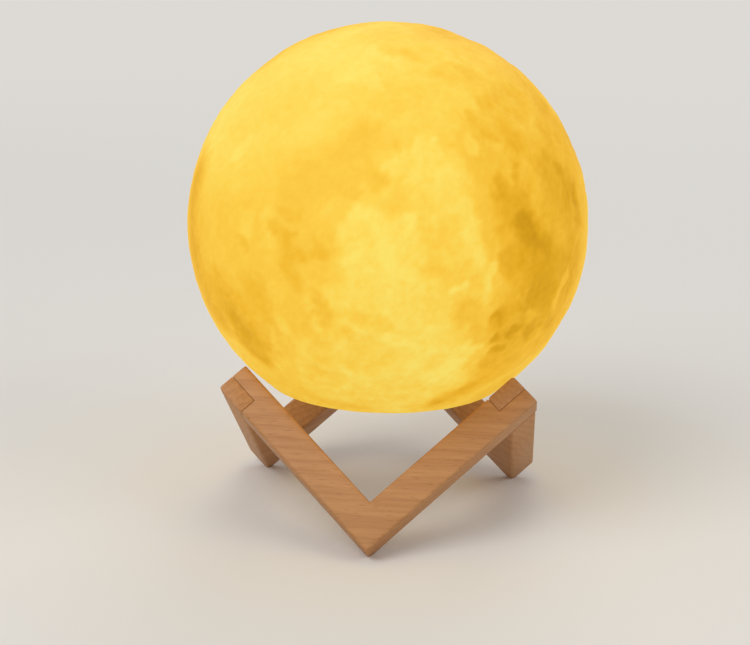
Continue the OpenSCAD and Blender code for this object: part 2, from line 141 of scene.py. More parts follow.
class Shader:
    """A material under construction: one Principled BSDF and the nodes that feed it."""

    def __init__(self, name: str) -> None:
        """Starts a material.

        Args:
            name: The material's name.
        """
        self.material = bpy.data.materials.new(name)
        self.material.use_nodes = True
        self.tree = self.material.node_tree
        self.tree.nodes.clear()
        self.surface = self.node("ShaderNodeBsdfPrincipled")
        self.output = self.node("ShaderNodeOutputMaterial", None, {"Surface": self.surface.outputs["BSDF"]})
        self.place = self.node("ShaderNodeTexCoord").outputs["Object"]

    def node(
        self, kind: str, settings: dict[str, object] | None = None, sockets: dict | None = None
    ) -> bpy.types.Node:
        """Adds a node.

        Args:
            kind: The node's type.
            settings: Its properties, set before its sockets.
            sockets: A value, or a socket to link from, for each input by name or number.

        Returns:
            The node.
        """
        made = self.tree.nodes.new(kind)
        for name, setting in (settings or {}).items():
            setattr(made, name, setting)
        for name, value in (sockets or {}).items():
            self.feed(made.inputs[name], value)
        return made

    def value(self, kind: str, settings: dict | None, sockets: dict, output: int | str = 0) -> Value:
        """Adds a node for one of its numbers.

        Args:
            kind: The node's type.
            settings: Its properties.
            sockets: Its inputs, as node takes them.
            output: The number's name or place among the outputs.

        Returns:
            The number.
        """
        return Value(self, self.node(kind, settings, sockets).outputs[output])

    def feed(self, target: bpy.types.NodeSocket, value: object) -> None:
        """Sets a socket to a value, or links it.

        Args:
            target: The input socket.
            value: A number, a colour, a vector, a Value or an output socket.
        """
        if isinstance(value, Value):
            value = value.socket
        if isinstance(value, bpy.types.NodeSocket):
            self.tree.links.new(value, target)
        elif target.type == "RGBA" and len(value) == 3:
            target.default_value = (*value, 1.0)
        else:
            target.default_value = value

    def ramp(self, value: Value, stops: list[tuple[float, Colour]]) -> bpy.types.NodeSocket:
        """Colours a value.

        Args:
            value: The value, from 0 to 1.
            stops: The place and the colour of each stop, in order.

        Returns:
            The colour.
        """
        made = self.node("ShaderNodeValToRGB", None, {"Fac": value})
        elements = made.color_ramp.elements
        while len(elements) < len(stops):
            elements.new(1.0)
        for element, (place, colour) in zip(elements, stops):
            element.position = place
            element.color = (*colour, 1.0)
        return made.outputs["Color"]

    def mix(self, factor: Value, first: object, second: object) -> bpy.types.NodeSocket:
        """Mixes two colours.

        Args:
            factor: The share of the second colour.
            first: The colour at 0.
            second: The colour at 1.

        Returns:
            The mixed colour.
        """
        made = self.node("ShaderNodeMix", {"data_type": "RGBA"}, {"Factor": factor})
        self.feed(made.inputs[6], first)
        self.feed(made.inputs[7], second)
        return made.outputs[2]

    def noise(
        self, scale: float, detail: float = 2.0, rough: float = 0.5, at: object = None, warp: float = 0.0
    ) -> Value:
        """Adds a noise, from 0 to 1 around one half.

        Args:
            scale: Its lumps per metre.
            detail: Its octaves.
            rough: How strong the finer octaves are.
            at: Where it is read, which is the object's own coordinates if left out.
            warp: How far it is distorted.

        Returns:
            The noise.
        """
        sockets = {"Vector": at or self.place, "Scale": scale, "Detail": detail}
        sockets |= {"Roughness": rough, "Distortion": warp}
        return self.value("ShaderNodeTexNoise", None, sockets)

    def cells(self, scale: float) -> Value:
        """Measures the distance to the middle of the nearest of scattered cells, at so many per metre."""
        return self.value("ShaderNodeTexVoronoi", None, {"Vector": self.place, "Scale": scale}, "Distance")

    def stretched(
        self, at: bpy.types.NodeSocket, scale: tuple[float, float, float]
    ) -> bpy.types.NodeSocket:
        """Multiplies coordinates by a scale for each axis."""
        return self.node("ShaderNodeVectorMath", {"operation": "MULTIPLY"}, {0: at, 1: scale}).outputs[0]

    def along(self, at: bpy.types.NodeSocket, axis: str) -> Value:
        """Reads coordinates along the axis X, Y or Z."""
        return self.value("ShaderNodeSeparateXYZ", None, {0: at}, axis)

    def on_axis(self, axis: str, number: Value) -> bpy.types.NodeSocket:
        """Makes coordinates that hold a number on one axis and 0 on the others."""
        return self.node("ShaderNodeCombineXYZ", None, {axis: number}).outputs[0]

    def length(self, at: bpy.types.NodeSocket) -> Value:
        """Measures how far coordinates lie from their origin."""
        return self.value("ShaderNodeVectorMath", {"operation": "LENGTH"}, {0: at}, "Value")

    def bump(self, height: Value, depth: float, strength: float = 1.0) -> None:
        """Raises the surface's shading by a height.

        Args:
            height: The height, from 0 to 1.
            depth: What a height of 1 stands for, in metres.
            strength: How strong the effect is.
        """
        made = self.node(
            "ShaderNodeBump", None, {"Height": height, "Distance": depth, "Strength": strength}
        )
        self.set(Normal=made.outputs[0])

    def set(self, **sockets: object) -> None:
        """Sets or links the Principled BSDF's sockets, with _ in a name for a space."""
        for name, value in sockets.items():
            self.feed(self.surface.inputs[name.replace("_", " ")], value)


# ---------------------------------------------------------------------------------------------- finishes


class Texture(Enum):
    """The pattern that a finish's small relief follows."""

    GRAIN = "grain"
    CELLS = "cells"
    WRINKLES = "wrinkles"


class Look:
    """A finish, which paints the shader of one material."""

    def material(self, name: str) -> bpy.types.Material:
        """Makes the finish's material.

        Args:
            name: The material's name.

        Returns:
            The material.
        """
        shader = Shader(name)
        self.paint(shader)
        return shader.material

    def paint(self, shader: Shader) -> None:
        """Paints a shader with the finish."""
        raise NotImplementedError


@dataclass(frozen=True)
class Finish(Look):
    """A moulded, painted or metal surface with slight changes of tone and gloss.

    Attributes:
        light: The lighter tone.
        dark: The darker tone.
        roughness: The lowest and the highest roughness.
        metallic: 1 on bare metal.
        patch: The size of the changes in tone.
        grain: The size of the small relief.
        depth: The depth of the small relief.
        texture: What the small relief follows.
        coat: The weight of a clear coat.
        transmission: How much of a clear plastic's light passes.
    """

    light: Colour
    dark: Colour
    roughness: tuple[float, float] = (0.4, 0.5)
    metallic: float = 0.0
    patch: float = 9 * MM
    grain: float = 0.6 * MM
    depth: float = 0.02 * MM
    texture: Texture = Texture.GRAIN
    coat: float = 0.0
    transmission: float = 0.0

    def paint(self, shader: Shader) -> None:
        """Paints a shader with its patches of tone and gloss and its small relief.

        Args:
            shader: The material's shader.
        """
        tone = shader.noise(1 / self.patch, 3.0)
        fine = self._relief(shader)
        low, high = self.roughness
        shader.set(
            Base_Color=shader.mix(tone.between(0.3, 0.7) * 0.7 + fine * 0.3, self.dark, self.light),
            Roughness=low + (high - low) * shader.noise(2 / self.patch, 2.0).between(0.3, 0.7),
            Metallic=self.metallic,
            Coat_Weight=self.coat,
            Transmission_Weight=self.transmission,
        )
        shader.bump(fine, self.depth)

    def _relief(self, shader: Shader) -> Value:
        """Adds the pattern of the small relief.

        Args:
            shader: The material's shader.

        Returns:
            The relief's height, from 0 to 1.
        """
        if self.texture is Texture.CELLS:
            return shader.cells(1 / self.grain).between(0.05, 0.75)
        if self.texture is Texture.WRINKLES:
            return shader.noise(1 / self.grain, 4.0, 0.6, warp=1.2).between(0.35, 0.65)
        return shader.noise(1 / self.grain, 2.0).between(0.25, 0.75)


@dataclass(frozen=True)
class TurnedMetal(Look):
    """Plated metal with the fine rings that turning leaves.

    Attributes:
        light: The lighter tone.
        dark: The darker tone.
        rings: The distance between two rings.
        depth: The depth of the rings.
    """

    light: Colour
    dark: Colour
    rings: float = 0.22 * MM
    depth: float = 0.004 * MM

    def paint(self, shader: Shader) -> None:
        """Paints a shader with its rings round the lamp's axis.

        Args:
            shader: The material's shader.
        """
        reach = shader.length(shader.stretched(shader.place, (1, 1, 0)))
        rings = shader.noise(1 / self.rings, 2.0, 0.6, at=shader.on_axis("X", reach))
        smear = shader.noise(140, 3.0)
        shader.set(
            Base_Color=shader.mix(rings.between(0.3, 0.7), self.dark, self.light),
            Roughness=0.16 + 0.16 * smear.between(0.3, 0.75),
            Metallic=1.0,
        )
        shader.bump(rings, self.depth)


@dataclass(frozen=True)
class BoardMask(Look):
    """The solder mask of a circuit board, with copper tracks under it.

    Attributes:
        mask: The colour between the tracks.
        track: The colour over the tracks.
        pitch: The distance between the tracks.
        turns: How many tracks run round each of the pattern's cells.
        relief: How high the tracks stand.
    """

    mask: Colour
    track: Colour
    pitch: float = 1.7 * MM
    turns: float = 9.0
    relief: float = 0.03 * MM

    def paint(self, shader: Shader) -> None:
        """Paints a shader with the mask and its tracks.

        Args:
            shader: The material's shader.
        """
        cells = shader.node(
            "ShaderNodeTexVoronoi",
            {"distance": "CHEBYCHEV"},
            {"Vector": shader.place, "Scale": 0.25 / self.pitch, "Randomness": 0.8},
        )
        stripe = (Value(shader, cells.outputs["Distance"]) * self.turns).fraction()
        track = stripe.between(0.52, 0.6) - stripe.between(0.86, 0.94)
        shader.set(
            Base_Color=shader.mix(track, self.mask, self.track),
            Roughness=0.3 + 0.12 * shader.noise(500, 2.0),
            Coat_Weight=0.3,
        )
        shader.bump(track, self.relief)


@dataclass(frozen=True)
class Beech(Look):
    """Planed beech under clear matt oil: growth bands, fine pores and short flecks along the grain.

    Attributes:
        early: The pale wood between the growth bands.
        late: The darker wood of the growth bands.
        fleck: The colour of the pores and flecks.
        band: The distance between growth bands.
        slant: How far the bands slant through the board.
        drift: How many bands they wander.
        relief: The depth of the fibres.
        grain_name: The mesh attribute that holds each point's place in its board, with the grain along X.
    """

    early: Colour = srgb(192, 140, 88)
    late: Colour = srgb(168, 114, 66)
    fleck: Colour = srgb(128, 82, 46)
    band: float = 3.4 * MM
    slant: float = 0.55
    drift: float = 6.0
    relief: float = 0.05 * MM
    grain_name: str = "grain"

    def paint(self, shader: Shader) -> None:
        """Paints a shader with the bands, fibres and pores of the wood.

        Args:
            shader: The material's shader.
        """
        board = shader.node("ShaderNodeAttribute", {"attribute_name": self.grain_name}).outputs["Vector"]
        sway = shader.stretched(board, (0.1, 1.0, 1.0))
        drift = shader.noise(38, 3.0, 0.5, at=sway)
        height, through = shader.along(sway, "Y"), shader.along(sway, "Z")
        count = (height * self.slant + through) * (1 / self.band) + drift * self.drift
        wave = count.fraction()
        band = wave.between(0.0, 0.75) - wave.between(0.86, 1.0)
        fibre = shader.noise(900, 3.0, 0.6, at=shader.stretched(board, (0.045, 1.0, 1.0)))
        pores = shader.noise(2300, 1.0, 0.5, at=shader.stretched(board, (0.09, 1.0, 1.0)))
        pores = pores.between(0.62, 0.74)
        cloud = shader.noise(22, 2.0, at=board)
        tone = band * 0.3 + fibre.between(0.3, 0.7) * 0.4 + cloud.between(0.3, 0.7) * 0.3
        wood = shader.mix(tone, self.early, self.late)
        shader.set(
            Base_Color=shader.mix(pores * 0.5, wood, self.fleck),
            Roughness=0.46 + 0.14 * fibre,
            Specular_IOR_Level=0.4,
        )
        shader.bump(fibre * 0.6 - pores * 0.4, self.relief, 0.8)


@dataclass(frozen=True)
class MoonPrint(Look):
    """Printed white plastic that glows warm, brighter where the print is thin; its colour holds a share of
    that glow as painted light.

    Attributes:
        glow: What the lit surface looks like, from its thickest to its thinnest places.
        own_light: The share of that look that the surface gives out by itself.
        body: The share of that look painted into the surface's colour, which other light falls on: painted
            glow, not the white print's own colour.
        speckle: How far the print's grit shifts the tone.
        relief: The depth of the grit.
        tone_name: The mesh attribute that says how thin the print is, with painted shade along the face's
            rims and in the craters' bowls, from 0 to 1.
    """

    glow: tuple[tuple[float, Colour], ...] = (
        (0.0, srgb(206, 149, 12)),
        (0.25, srgb(227, 169, 24)),
        (0.5, srgb(246, 189, 48)),
        (0.72, srgb(254, 206, 70)),
        (0.86, srgb(255, 217, 86)),
        (1.0, srgb(255, 229, 106)),
    )
    own_light: float = 0.74
    body: float = 0.26
    speckle: float = 0.17
    relief: float = 0.16 * MM
    tone_name: str = "thinness_and_painted_shade"

    def paint(self, shader: Shader) -> None:
        """Paints a shader with the glow and the grit of the print.

        Args:
            shader: The material's shader.
        """
        thin = shader.node("ShaderNodeAttribute", {"attribute_name": self.tone_name})
        speckle = shader.noise(260, 4.0, 0.6)
        grit = shader.noise(1500, 2.0, 0.6)
        tone = Value(shader, thin.outputs["Fac"]) + (speckle - 0.5) * self.speckle
        level = shader.on_axis("Z", shader.along(shader.place, "Z"))
        layers = shader.noise(2600, 1.0, 0.5, at=level)
        shader.set(
            # Painted light: the base colour is a share of the warm glow's colours and pattern, not the
            # white print's own colour.
            Base_Color=shader.ramp(tone, [(at, scaled(c, self.body)) for at, c in self.glow]),
            Emission_Color=shader.ramp(tone, [(at, scaled(c, self.own_light)) for at, c in self.glow]),
            Emission_Strength=1.0,
            Roughness=0.6 + 0.15 * grit,
            Specular_IOR_Level=0.12,
        )
        shader.bump(speckle * 0.55 + grit * 0.25 + layers * 0.2, self.relief, 0.7)


# ------------------------------------------------------------------------------------------- modelling kit


def deselect() -> None:
    """Leaves nothing selected, so that an operator acts on what is picked after it."""
    bpy.ops.object.select_all(action="DESELECT")


def pick_only(*pieces: bpy.types.Object) -> None:
    """Selects these pieces alone and makes the first one active."""
    deselect()
    for piece in pieces:
        piece.select_set(True)
    bpy.context.view_layer.objects.active = pieces[0]


@contextmanager
def editing(piece: bpy.types.Object) -> Iterator[None]:
    """Opens a piece's mesh for editing and closes it again.

    Args:
        piece: The piece.
    """
    pick_only(piece)
    bpy.ops.object.mode_set(mode="EDIT")
    yield
    bpy.ops.object.mode_set(mode="OBJECT")


def pick_elements(piece: bpy.types.Object, kind: str, test: Callable[[Vector, Vector], bool]) -> None:
    """Selects a mesh's faces or edges by their place, in edit mode.

    Args:
        piece: The piece, which is in edit mode.
        kind: FACE or EDGE.
        test: Says, from an element's middle and its direction, whether it is selected. The direction is a
            face's normal, or the way that an edge runs.
    """
    bpy.ops.mesh.select_mode(type=kind)
    bpy.ops.mesh.select_all(action="DESELECT")
    mesh = bmesh.from_edit_mesh(piece.data)
    if kind == "FACE":
        places = [(face, face.calc_center_median(), face.normal) for face in mesh.faces]
    else:
        ends = [(edge, edge.verts[0].co, edge.verts[1].co) for edge in mesh.edges]
        places = [(edge, (start + end) / 2, (end - start).normalized()) for edge, start, end in ends]
    for element, middle, way in places:
        if test(middle, way):
            element.select_set(True)
    bmesh.update_edit_mesh(piece.data)


def close_up() -> None:
    """Merges doubled points, drops slivers and turns the faces outwards, in the mesh in edit mode."""
    bpy.ops.mesh.select_all(action="SELECT")
    bpy.ops.mesh.remove_doubles(threshold=SPECK)
    bpy.ops.mesh.dissolve_degenerate(threshold=SPECK)
    bpy.ops.mesh.select_all(action="SELECT")
    bpy.ops.mesh.normals_make_consistent(inside=False)


def eased(corners: Iterable[tuple[float, float, float]], steps: int = 5) -> list[tuple[float, float]]:
    """Rounds the corners of a profile.

    Args:
        corners: The radius, height and rounding of each corner. A rounding of 0 keeps it sharp.
        steps: The number of steps in each rounding.

    Returns:
        The points of the rounded profile.
    """
    spots = [(Vector((r, z)), ease) for r, z, ease in corners]
    points: list[tuple[float, float]] = []
    for index, (spot, ease) in enumerate(spots):
        if ease == 0 or index in (0, len(spots) - 1):
            points.append(tuple(spot))
            continue
        back = (spots[index - 1][0] - spot).normalized()
        ahead = (spots[index + 1][0] - spot).normalized()
        half = back.angle(ahead) / 2
        reach = ease / math.tan(half)
        middle = spot + (back + ahead).normalized() * (ease / math.sin(half))
        start, end = spot + back * reach - middle, spot + ahead * reach - middle
        turn = start.angle_signed(end)
        for step in range(steps + 1):
            angle = -turn * step / steps
            points.append(tuple(middle + Matrix.Rotation(angle, 2) @ start))
    return points


def turned(
    name: str, profile: list[tuple[float, float]], steps: int, closed: bool = False, angle: float = math.tau
) -> bpy.types.Object:
    """Draws a profile by extruding a point and spins it about the lamp's axis.

    Args:
        name: The piece's name.
        profile: The radius and height of each of the profile's points.
        steps: The number of steps round the axis.
        closed: Whether the profile ends where it starts.
        angle: How far round it is spun, in radians. The ends of less than a full turn are filled.

    Returns:
        The piece, with its place in its mesh.
    """
    deselect()
    bpy.ops.mesh.primitive_plane_add(size=MM, location=(profile[0][0], 0, profile[0][1]))
    piece = bpy.context.object
    piece.name = piece.data.name = name
    bpy.ops.object.transform_apply(location=True, rotation=True, scale=True)
    path = profile + profile[:1] if closed else profile
    with editing(piece):
        bpy.ops.mesh.select_mode(type="VERT")
        bpy.ops.mesh.select_all(action="SELECT")
        bpy.ops.mesh.merge(type="CENTER")
        for (r, z), (next_r, next_z) in zip(path, path[1:]):
            step = (next_r - r, 0, next_z - z)
            bpy.ops.mesh.extrude_region_move(TRANSFORM_OT_translate={"value": step})
        bpy.ops.mesh.select_all(action="SELECT")
        bpy.ops.mesh.spin(steps=steps, angle=angle, center=(0, 0, 0), axis=(0, 0, 1), use_auto_merge=True)
        close_up()
        if angle < math.tau:
            bpy.ops.mesh.select_all(action="DESELECT")
            bpy.ops.mesh.select_non_manifold()
            bpy.ops.mesh.fill_holes(sides=0)
            close_up()
    return piece


def apply_modifier(piece: bpy.types.Object, kind: str, **settings: object) -> None:
    """Adds a modifier to a piece, applies it and closes the mesh up after it.

    Args:
        piece: The piece.
        kind: The modifier's type.
        settings: The modifier's settings.
    """
    pick_only(piece)
    modifier = piece.modifiers.new(kind.title(), kind)
    for name, value in settings.items():
        setattr(modifier, name, value)
    bpy.ops.object.modifier_apply(modifier=modifier.name)
    with editing(piece):
        close_up()


def moved(piece: bpy.types.Object, place: Matrix) -> bpy.types.Object:
    """Moves a piece's mesh and leaves its object at the origin.

    Args:
        piece: The piece.
        place: The turn and the move.

    Returns:
        The same piece.
    """
    pick_only(piece)
    piece.matrix_world = place
    bpy.ops.object.transform_apply(location=True, rotation=True, scale=True)
    return piece


def smooth(piece: bpy.types.Object, angle: float) -> None:
    """Shades a piece smooth where its faces meet at less than an angle, in degrees."""
    pick_only(piece)
    bpy.ops.object.shade_smooth_by_angle(angle=math.radians(angle))


def dress(piece: bpy.types.Object, material: bpy.types.Material) -> None:
    """Gives a piece one material, in place of any it has."""
    if not piece.material_slots:
        piece.data.materials.append(material)
    for place in piece.material_slots:
        place.material = material


# --------------------------------------------------------------------------------------------------- moon


@dataclass(frozen=True)
class Stroke:
    """A soft stroke of one tone on the moon's face, painted over what is below it.

    Attributes:
        tone: The stroke's tone, from 0, the darkest, to 1, the brightest.
        width: Half its width in degrees.
        path: The azimuth, from the front towards +X, and the elevation of each of its points, in degrees.
        soft: The share of its width over which it fades out.
        cover: How much of what is below it it hides.
    """

    tone: float
    width: float
    path: tuple[tuple[float, float], ...]
    soft: float = 0.6
    cover: float = 1.0

    def paint(self, tones: np.ndarray, ways: np.ndarray) -> None:
        """Paints the stroke over the tones at each point.

        Args:
            tones: The tones, which are changed.
            ways: The unit vectors from the ball's middle to the points.
        """
        knots = [way_to(east, north) for east, north in self.path]
        away = np.linalg.norm(ways - knots[0], axis=1)
        for start, end in zip(knots, knots[1:]):
            run = end - start
            share = np.clip(((ways - start) @ run) / (run @ run), 0, 1)
            away = np.minimum(away, np.linalg.norm(ways - start - share[:, None] * run, axis=1))
        inner, outer = self.width * (1 - self.soft), self.width * (1 + self.soft)
        fade = np.clip((outer - np.degrees(away)) / (outer - inner), 0, 1)
        tones += (self.tone - tones) * self.cover * fade * fade * (3 - 2 * fade)


def way_to(east: float, north: float) -> np.ndarray:
    """Returns the unit vector to an azimuth and elevation on the moon, in degrees."""
    turn, rise = math.radians(east), math.radians(north)
    return np.array((math.sin(turn) * math.cos(rise), -math.cos(turn) * math.cos(rise), math.sin(rise)))


# The pale and dark fields of the face, from the broad ones to their soft edges.
BROAD_STROKES = (
    Stroke(0.68, 30, ((-50, -8), (-30, -22)), 0.8),
    Stroke(0.46, 23, ((66, 24), (62, 8), (60, -22)), 0.8),
    Stroke(0.62, 8, ((64, 44), (60, 31)), 0.9),
    Stroke(0.96, 18, ((-62, 36), (-44, 50), (-12, 68)), 0.7),
    Stroke(0.88, 12, ((-46, 34), (-28, 42)), 0.8),
    Stroke(0.82, 9, ((4, 47), (26, 44)), 0.7),
    Stroke(0.68, 6.5, ((-20, 21), (-13, 25), (-6, 28), (-3, 34)), 0.6),
    Stroke(0.70, 9, ((-22, 6), (-18, -4)), 0.6),
    Stroke(0.84, 14, ((4, -14), (14, -34), (-4, -36)), 0.6),
    Stroke(0.80, 7, ((-14, -28), (-18, -36)), 0.6),
    Stroke(0.58, 7, ((36, 34), (37, 20), (38, 6)), 0.8),
    Stroke(0.40, 3.5, ((40, 15), (40, 4)), 0.8),
    Stroke(0.30, 7, ((60, 3), (67, -7)), 0.8),
    Stroke(0.25, 9, ((49, 0), (53, -10)), 0.5),
    Stroke(0.38, 7, ((42, -17), (45, -23)), 0.5),
    Stroke(0.30, 5.5, ((44, 15), (47, 9)), 0.5),
    Stroke(0.36, 6, ((60, 25), (64, 14)), 0.6),
    Stroke(0.40, 7, ((-48, -14), (-42, -23)), 0.8),
    Stroke(0.56, 4.5, ((-33, -9), (-31, -20)), 0.8),
    Stroke(0.72, 7, ((5, 76), (50, 70)), 0.9, 0.7),
)

# The bright plains, and the small pale spots and rays on them.
BRIGHT_STROKES = (
    Stroke(0.88, 6.5, ((10, 26), (16, 30), (22, 20)), 0.5),
    Stroke(0.95, 4.5, ((14, 34), (16, 30)), 0.6),
    Stroke(0.91, 8.0, ((0, 9), (1, -4)), 0.28),
    Stroke(0.91, 7.0, ((7, 6), (8, -6)), 0.5),
    Stroke(0.90, 9.0, ((2, -12), (14, -20), (16, -32)), 0.6),
    Stroke(0.89, 3.8, ((21, 23), (25, 13), (27, 3)), 0.5),
    Stroke(0.93, 4.5, ((29, -26), (25, -33)), 0.4),
    Stroke(1.00, 2.2, ((-18, 54), (-7, 56)), 0.7),
    Stroke(0.95, 2.0, ((-3, 55), (-1, 51)), 0.8),
    Stroke(0.96, 1.7, ((-48, 25), (-45, 31)), 0.6),
    Stroke(0.84, 2.0, ((10, 37), (9, 33)), 0.7),
    Stroke(0.90, 2.4, ((-7, -22), (-6, -27)), 0.8),
    Stroke(0.97, 2.6, ((5, 6), (7, 2)), 0.7),
    Stroke(1.00, 1.5, ((9, 14), (9.5, 13)), 0.7),
    Stroke(0.92, 1.5, ((16, 14), (17, 13)), 0.7),
    Stroke(0.98, 1.6, ((-2, 6), (-2, 4)), 0.7),
    Stroke(0.96, 2.0, ((-6, 12), (-3, 15)), 0.7),
    Stroke(0.87, 2.6, ((-9, -7), (-8, -9)), 0.7),
    Stroke(0.95, 1.6, ((23, -5), (25, -5)), 0.7),
    Stroke(0.86, 1.5, ((34, 0), (32, -3), (32, -8)), 0.6),
    Stroke(0.78, 1.6, ((31, 34), (32, 31)), 0.7),
    Stroke(0.80, 2.0, ((-28, 12), (-28, 6)), 0.7),
    Stroke(0.80, 1.8, ((-35, 9), (-36, 4)), 0.7),
    Stroke(0.72, 1.8, ((-27, -8), (-26, -9)), 0.7),
    Stroke(0.82, 1.2, ((-16, -10), (-15.5, -11)), 0.8),
    Stroke(0.87, 1.1, ((-15, -14), (-15, -16)), 0.8),
    Stroke(0.78, 1.6, ((-25, -18), (-24, -20)), 0.7),
    Stroke(0.80, 1.6, ((-21, -24), (-20, -25)), 0.7),
    Stroke(0.72, 1.8, ((-31, -22), (-30, -25)), 0.7),
    Stroke(0.74, 2.0, ((-28, -31), (-23, -36)), 0.7),
    Stroke(0.56, 2.0, ((49, 24), (50, 17), (50, 12)), 0.7),
    Stroke(0.60, 1.4, ((56, 34), (55, 29)), 0.7),
    Stroke(0.66, 1.8, ((36, 37), (40, 32)), 0.7),
    Stroke(0.42, 3.0, ((55, 9), (62, 4)), 0.8),
    Stroke(0.54, 1.8, ((64, -8), (61, -13), (61, -19)), 0.5),
    Stroke(0.52, 3.2, ((60, -24), (57, -32), (50, -38)), 0.6),
    Stroke(0.52, 1.8, ((50, -16), (52, -18)), 0.8),
    Stroke(0.72, 2.4, ((35, -26), (34, -30)), 0.8),
    Stroke(0.70, 1.8, ((62, -35), (54, -41), (46, -45)), 0.9),
)

# The small dark spots, and the shade along the rims of the face.
DARK_STROKES = (
    Stroke(0.66, 1.6, ((-6, 21), (-4, 20)), 0.7),
    Stroke(0.66, 2.2, ((1, 26), (4, 22)), 0.6),
    Stroke(0.66, 2.0, ((-22, 19), (-21, 15)), 0.7),
    Stroke(0.58, 1.6, ((-23, 13), (-22, 12)), 0.7),
    Stroke(0.72, 1.6, ((6, 34), (6, 31)), 0.8),
    Stroke(0.74, 1.8, ((9, 22), (9, 20)), 0.8),
    Stroke(0.55, 1.6, ((-27, 9), (-25, 8)), 0.7),
    Stroke(0.50, 2.2, ((-22, 6), (-19, 3)), 0.7),
    Stroke(0.55, 1.5, ((-15, 5), (-13, 4)), 0.7),
    Stroke(0.54, 1.8, ((-22, 2), (-21, -3), (-19, -5)), 0.7),
    Stroke(0.57, 1.5, ((-38, 4), (-37, 2)), 0.7),
    Stroke(0.74, 2.0, ((-3, -12), (-1, -13)), 0.8),
    Stroke(0.68, 1.4, ((-7, -17), (-6, -18)), 0.8),
    Stroke(0.74, 1.4, ((-8, -28), (-6, -30)), 0.8),
    Stroke(0.78, 2.4, ((21, 12), (21, 5)), 0.8),
    Stroke(0.72, 2.6, ((17, 0), (24, -2)), 0.7),
    Stroke(0.74, 1.4, ((3, -14), (5, -16)), 0.8),
    Stroke(0.60, 1.6, ((-13, -9), (-13, -14)), 0.8),
    Stroke(0.62, 1.8, ((26, -11), (26, -15)), 0.8),
    Stroke(0.74, 3.0, ((10, 66), (15, 65)), 0.9),
    Stroke(0.70, 2.4, ((29, 56), (32, 54)), 0.9),
    Stroke(0.64, 2.8, ((41, 57), (46, 54)), 0.9),
    Stroke(0.54, 2.4, ((42, 44), (49, 46)), 0.9),
    Stroke(0.56, 1.4, ((33, 41), (34, 37)), 0.8),
    Stroke(0.48, 1.5, ((37, 36), (40, 34)), 0.8),
    Stroke(0.45, 3.2, ((46, 35), (51, 31)), 0.8),
    Stroke(0.54, 1.8, ((56, 40), (58, 38)), 0.8),
    Stroke(0.44, 2.4, ((65, 33), (66, 29)), 0.8),
    Stroke(0.36, 1.4, ((45, 26), (44, 22)), 0.9),
    Stroke(0.32, 2.0, ((38, 22), (39, 19)), 0.7),
    Stroke(0.24, 2.4, ((65, 22), (67, 15)), 0.9),
    Stroke(0.22, 2.4, ((73, 16), (73, 8)), 0.9),
    Stroke(0.08, 1.5, ((42, 11), (46, 10)), 0.8),
    Stroke(0.10, 2.6, ((45, 9), (48, 5), (52, 1)), 0.9),
    Stroke(0.40, 2.8, ((39, 3), (42, -3)), 0.8),
    Stroke(0.20, 3.4, ((52, -2), (50, -9)), 0.9),
    Stroke(0.28, 1.4, ((69, -9), (69, -15)), 0.9),
    Stroke(0.20, 1.6, ((37, -14), (39, -17)), 0.8),
    Stroke(0.20, 1.2, ((44, -13), (47, -14)), 0.8),
    Stroke(0.12, 1.4, ((46, -20), (44, -21)), 0.8),
    Stroke(0.18, 1.2, ((38, -21), (36, -22)), 0.8),
    Stroke(0.18, 1.3, ((40, -25), (43, -26)), 0.8),
    Stroke(0.24, 2.2, ((51, -20), (53, -23)), 0.8),
    Stroke(0.28, 4.2, ((-44, -19), (-41, -25)), 1.0),
    Stroke(0.34, 2.6, ((-42, -29), (-39, -33)), 1.0),
    Stroke(0.62, 2.0, ((29, -10), (29, -15)), 0.9),
    Stroke(0.58, 2.2, ((31, -16), (32, -20)), 0.8),
    Stroke(0.28, 2.6, ((59, -18), (62, -22)), 0.9),
    Stroke(0.40, 3.6, ((47, -30), (42, -32)), 0.9),
    # Painted shade along the lower and left rims of the face.
    Stroke(0.42, 2.8, ((40, -38), (34, -43), (26, -48)), 1.0),
    Stroke(0.64, 2.4, ((-36, -42), (-22, -48), (-4, -51)), 1.0),
    Stroke(0.38, 6.5, ((-70, 15), (-67, 2), (-63, -11), (-58, -20)), 1.0),
)


@dataclass(frozen=True)
class Lumps:
    """A fractal noise over the moon's skin.

    Attributes:
        scale: The lumps in one radius.
        octaves: The octaves of the noise.
        layer: A number that picks one of many different noises.
        height: Its share in the relief.
        tone: Its share in the tone.
    """

    scale: float
    octaves: int
    layer: int
    height: float = 0.0
    tone: float = 0.0

    def read(self, ways: np.ndarray) -> np.ndarray:
        """Reads the noise.

        Args:
            ways: The unit vectors from the ball's middle to the points.

        Returns:
            The noise at each point, from about -1 to 1.
        """
        shift = Vector((self.layer * 7.31, self.layer * -3.17, self.layer * 5.03))
        spots = (ways * self.scale).tolist()
        return np.array([noise.fractal(Vector(spot) + shift, 0.8, 2.1, self.octaves) for spot in spots])


MOTTLES = (Lumps(2.6, 4, 7, 0.26, 0.03), Lumps(12, 4, 8, 0.18, 0.06), Lumps(36, 3, 9, 0.13, 0.075))


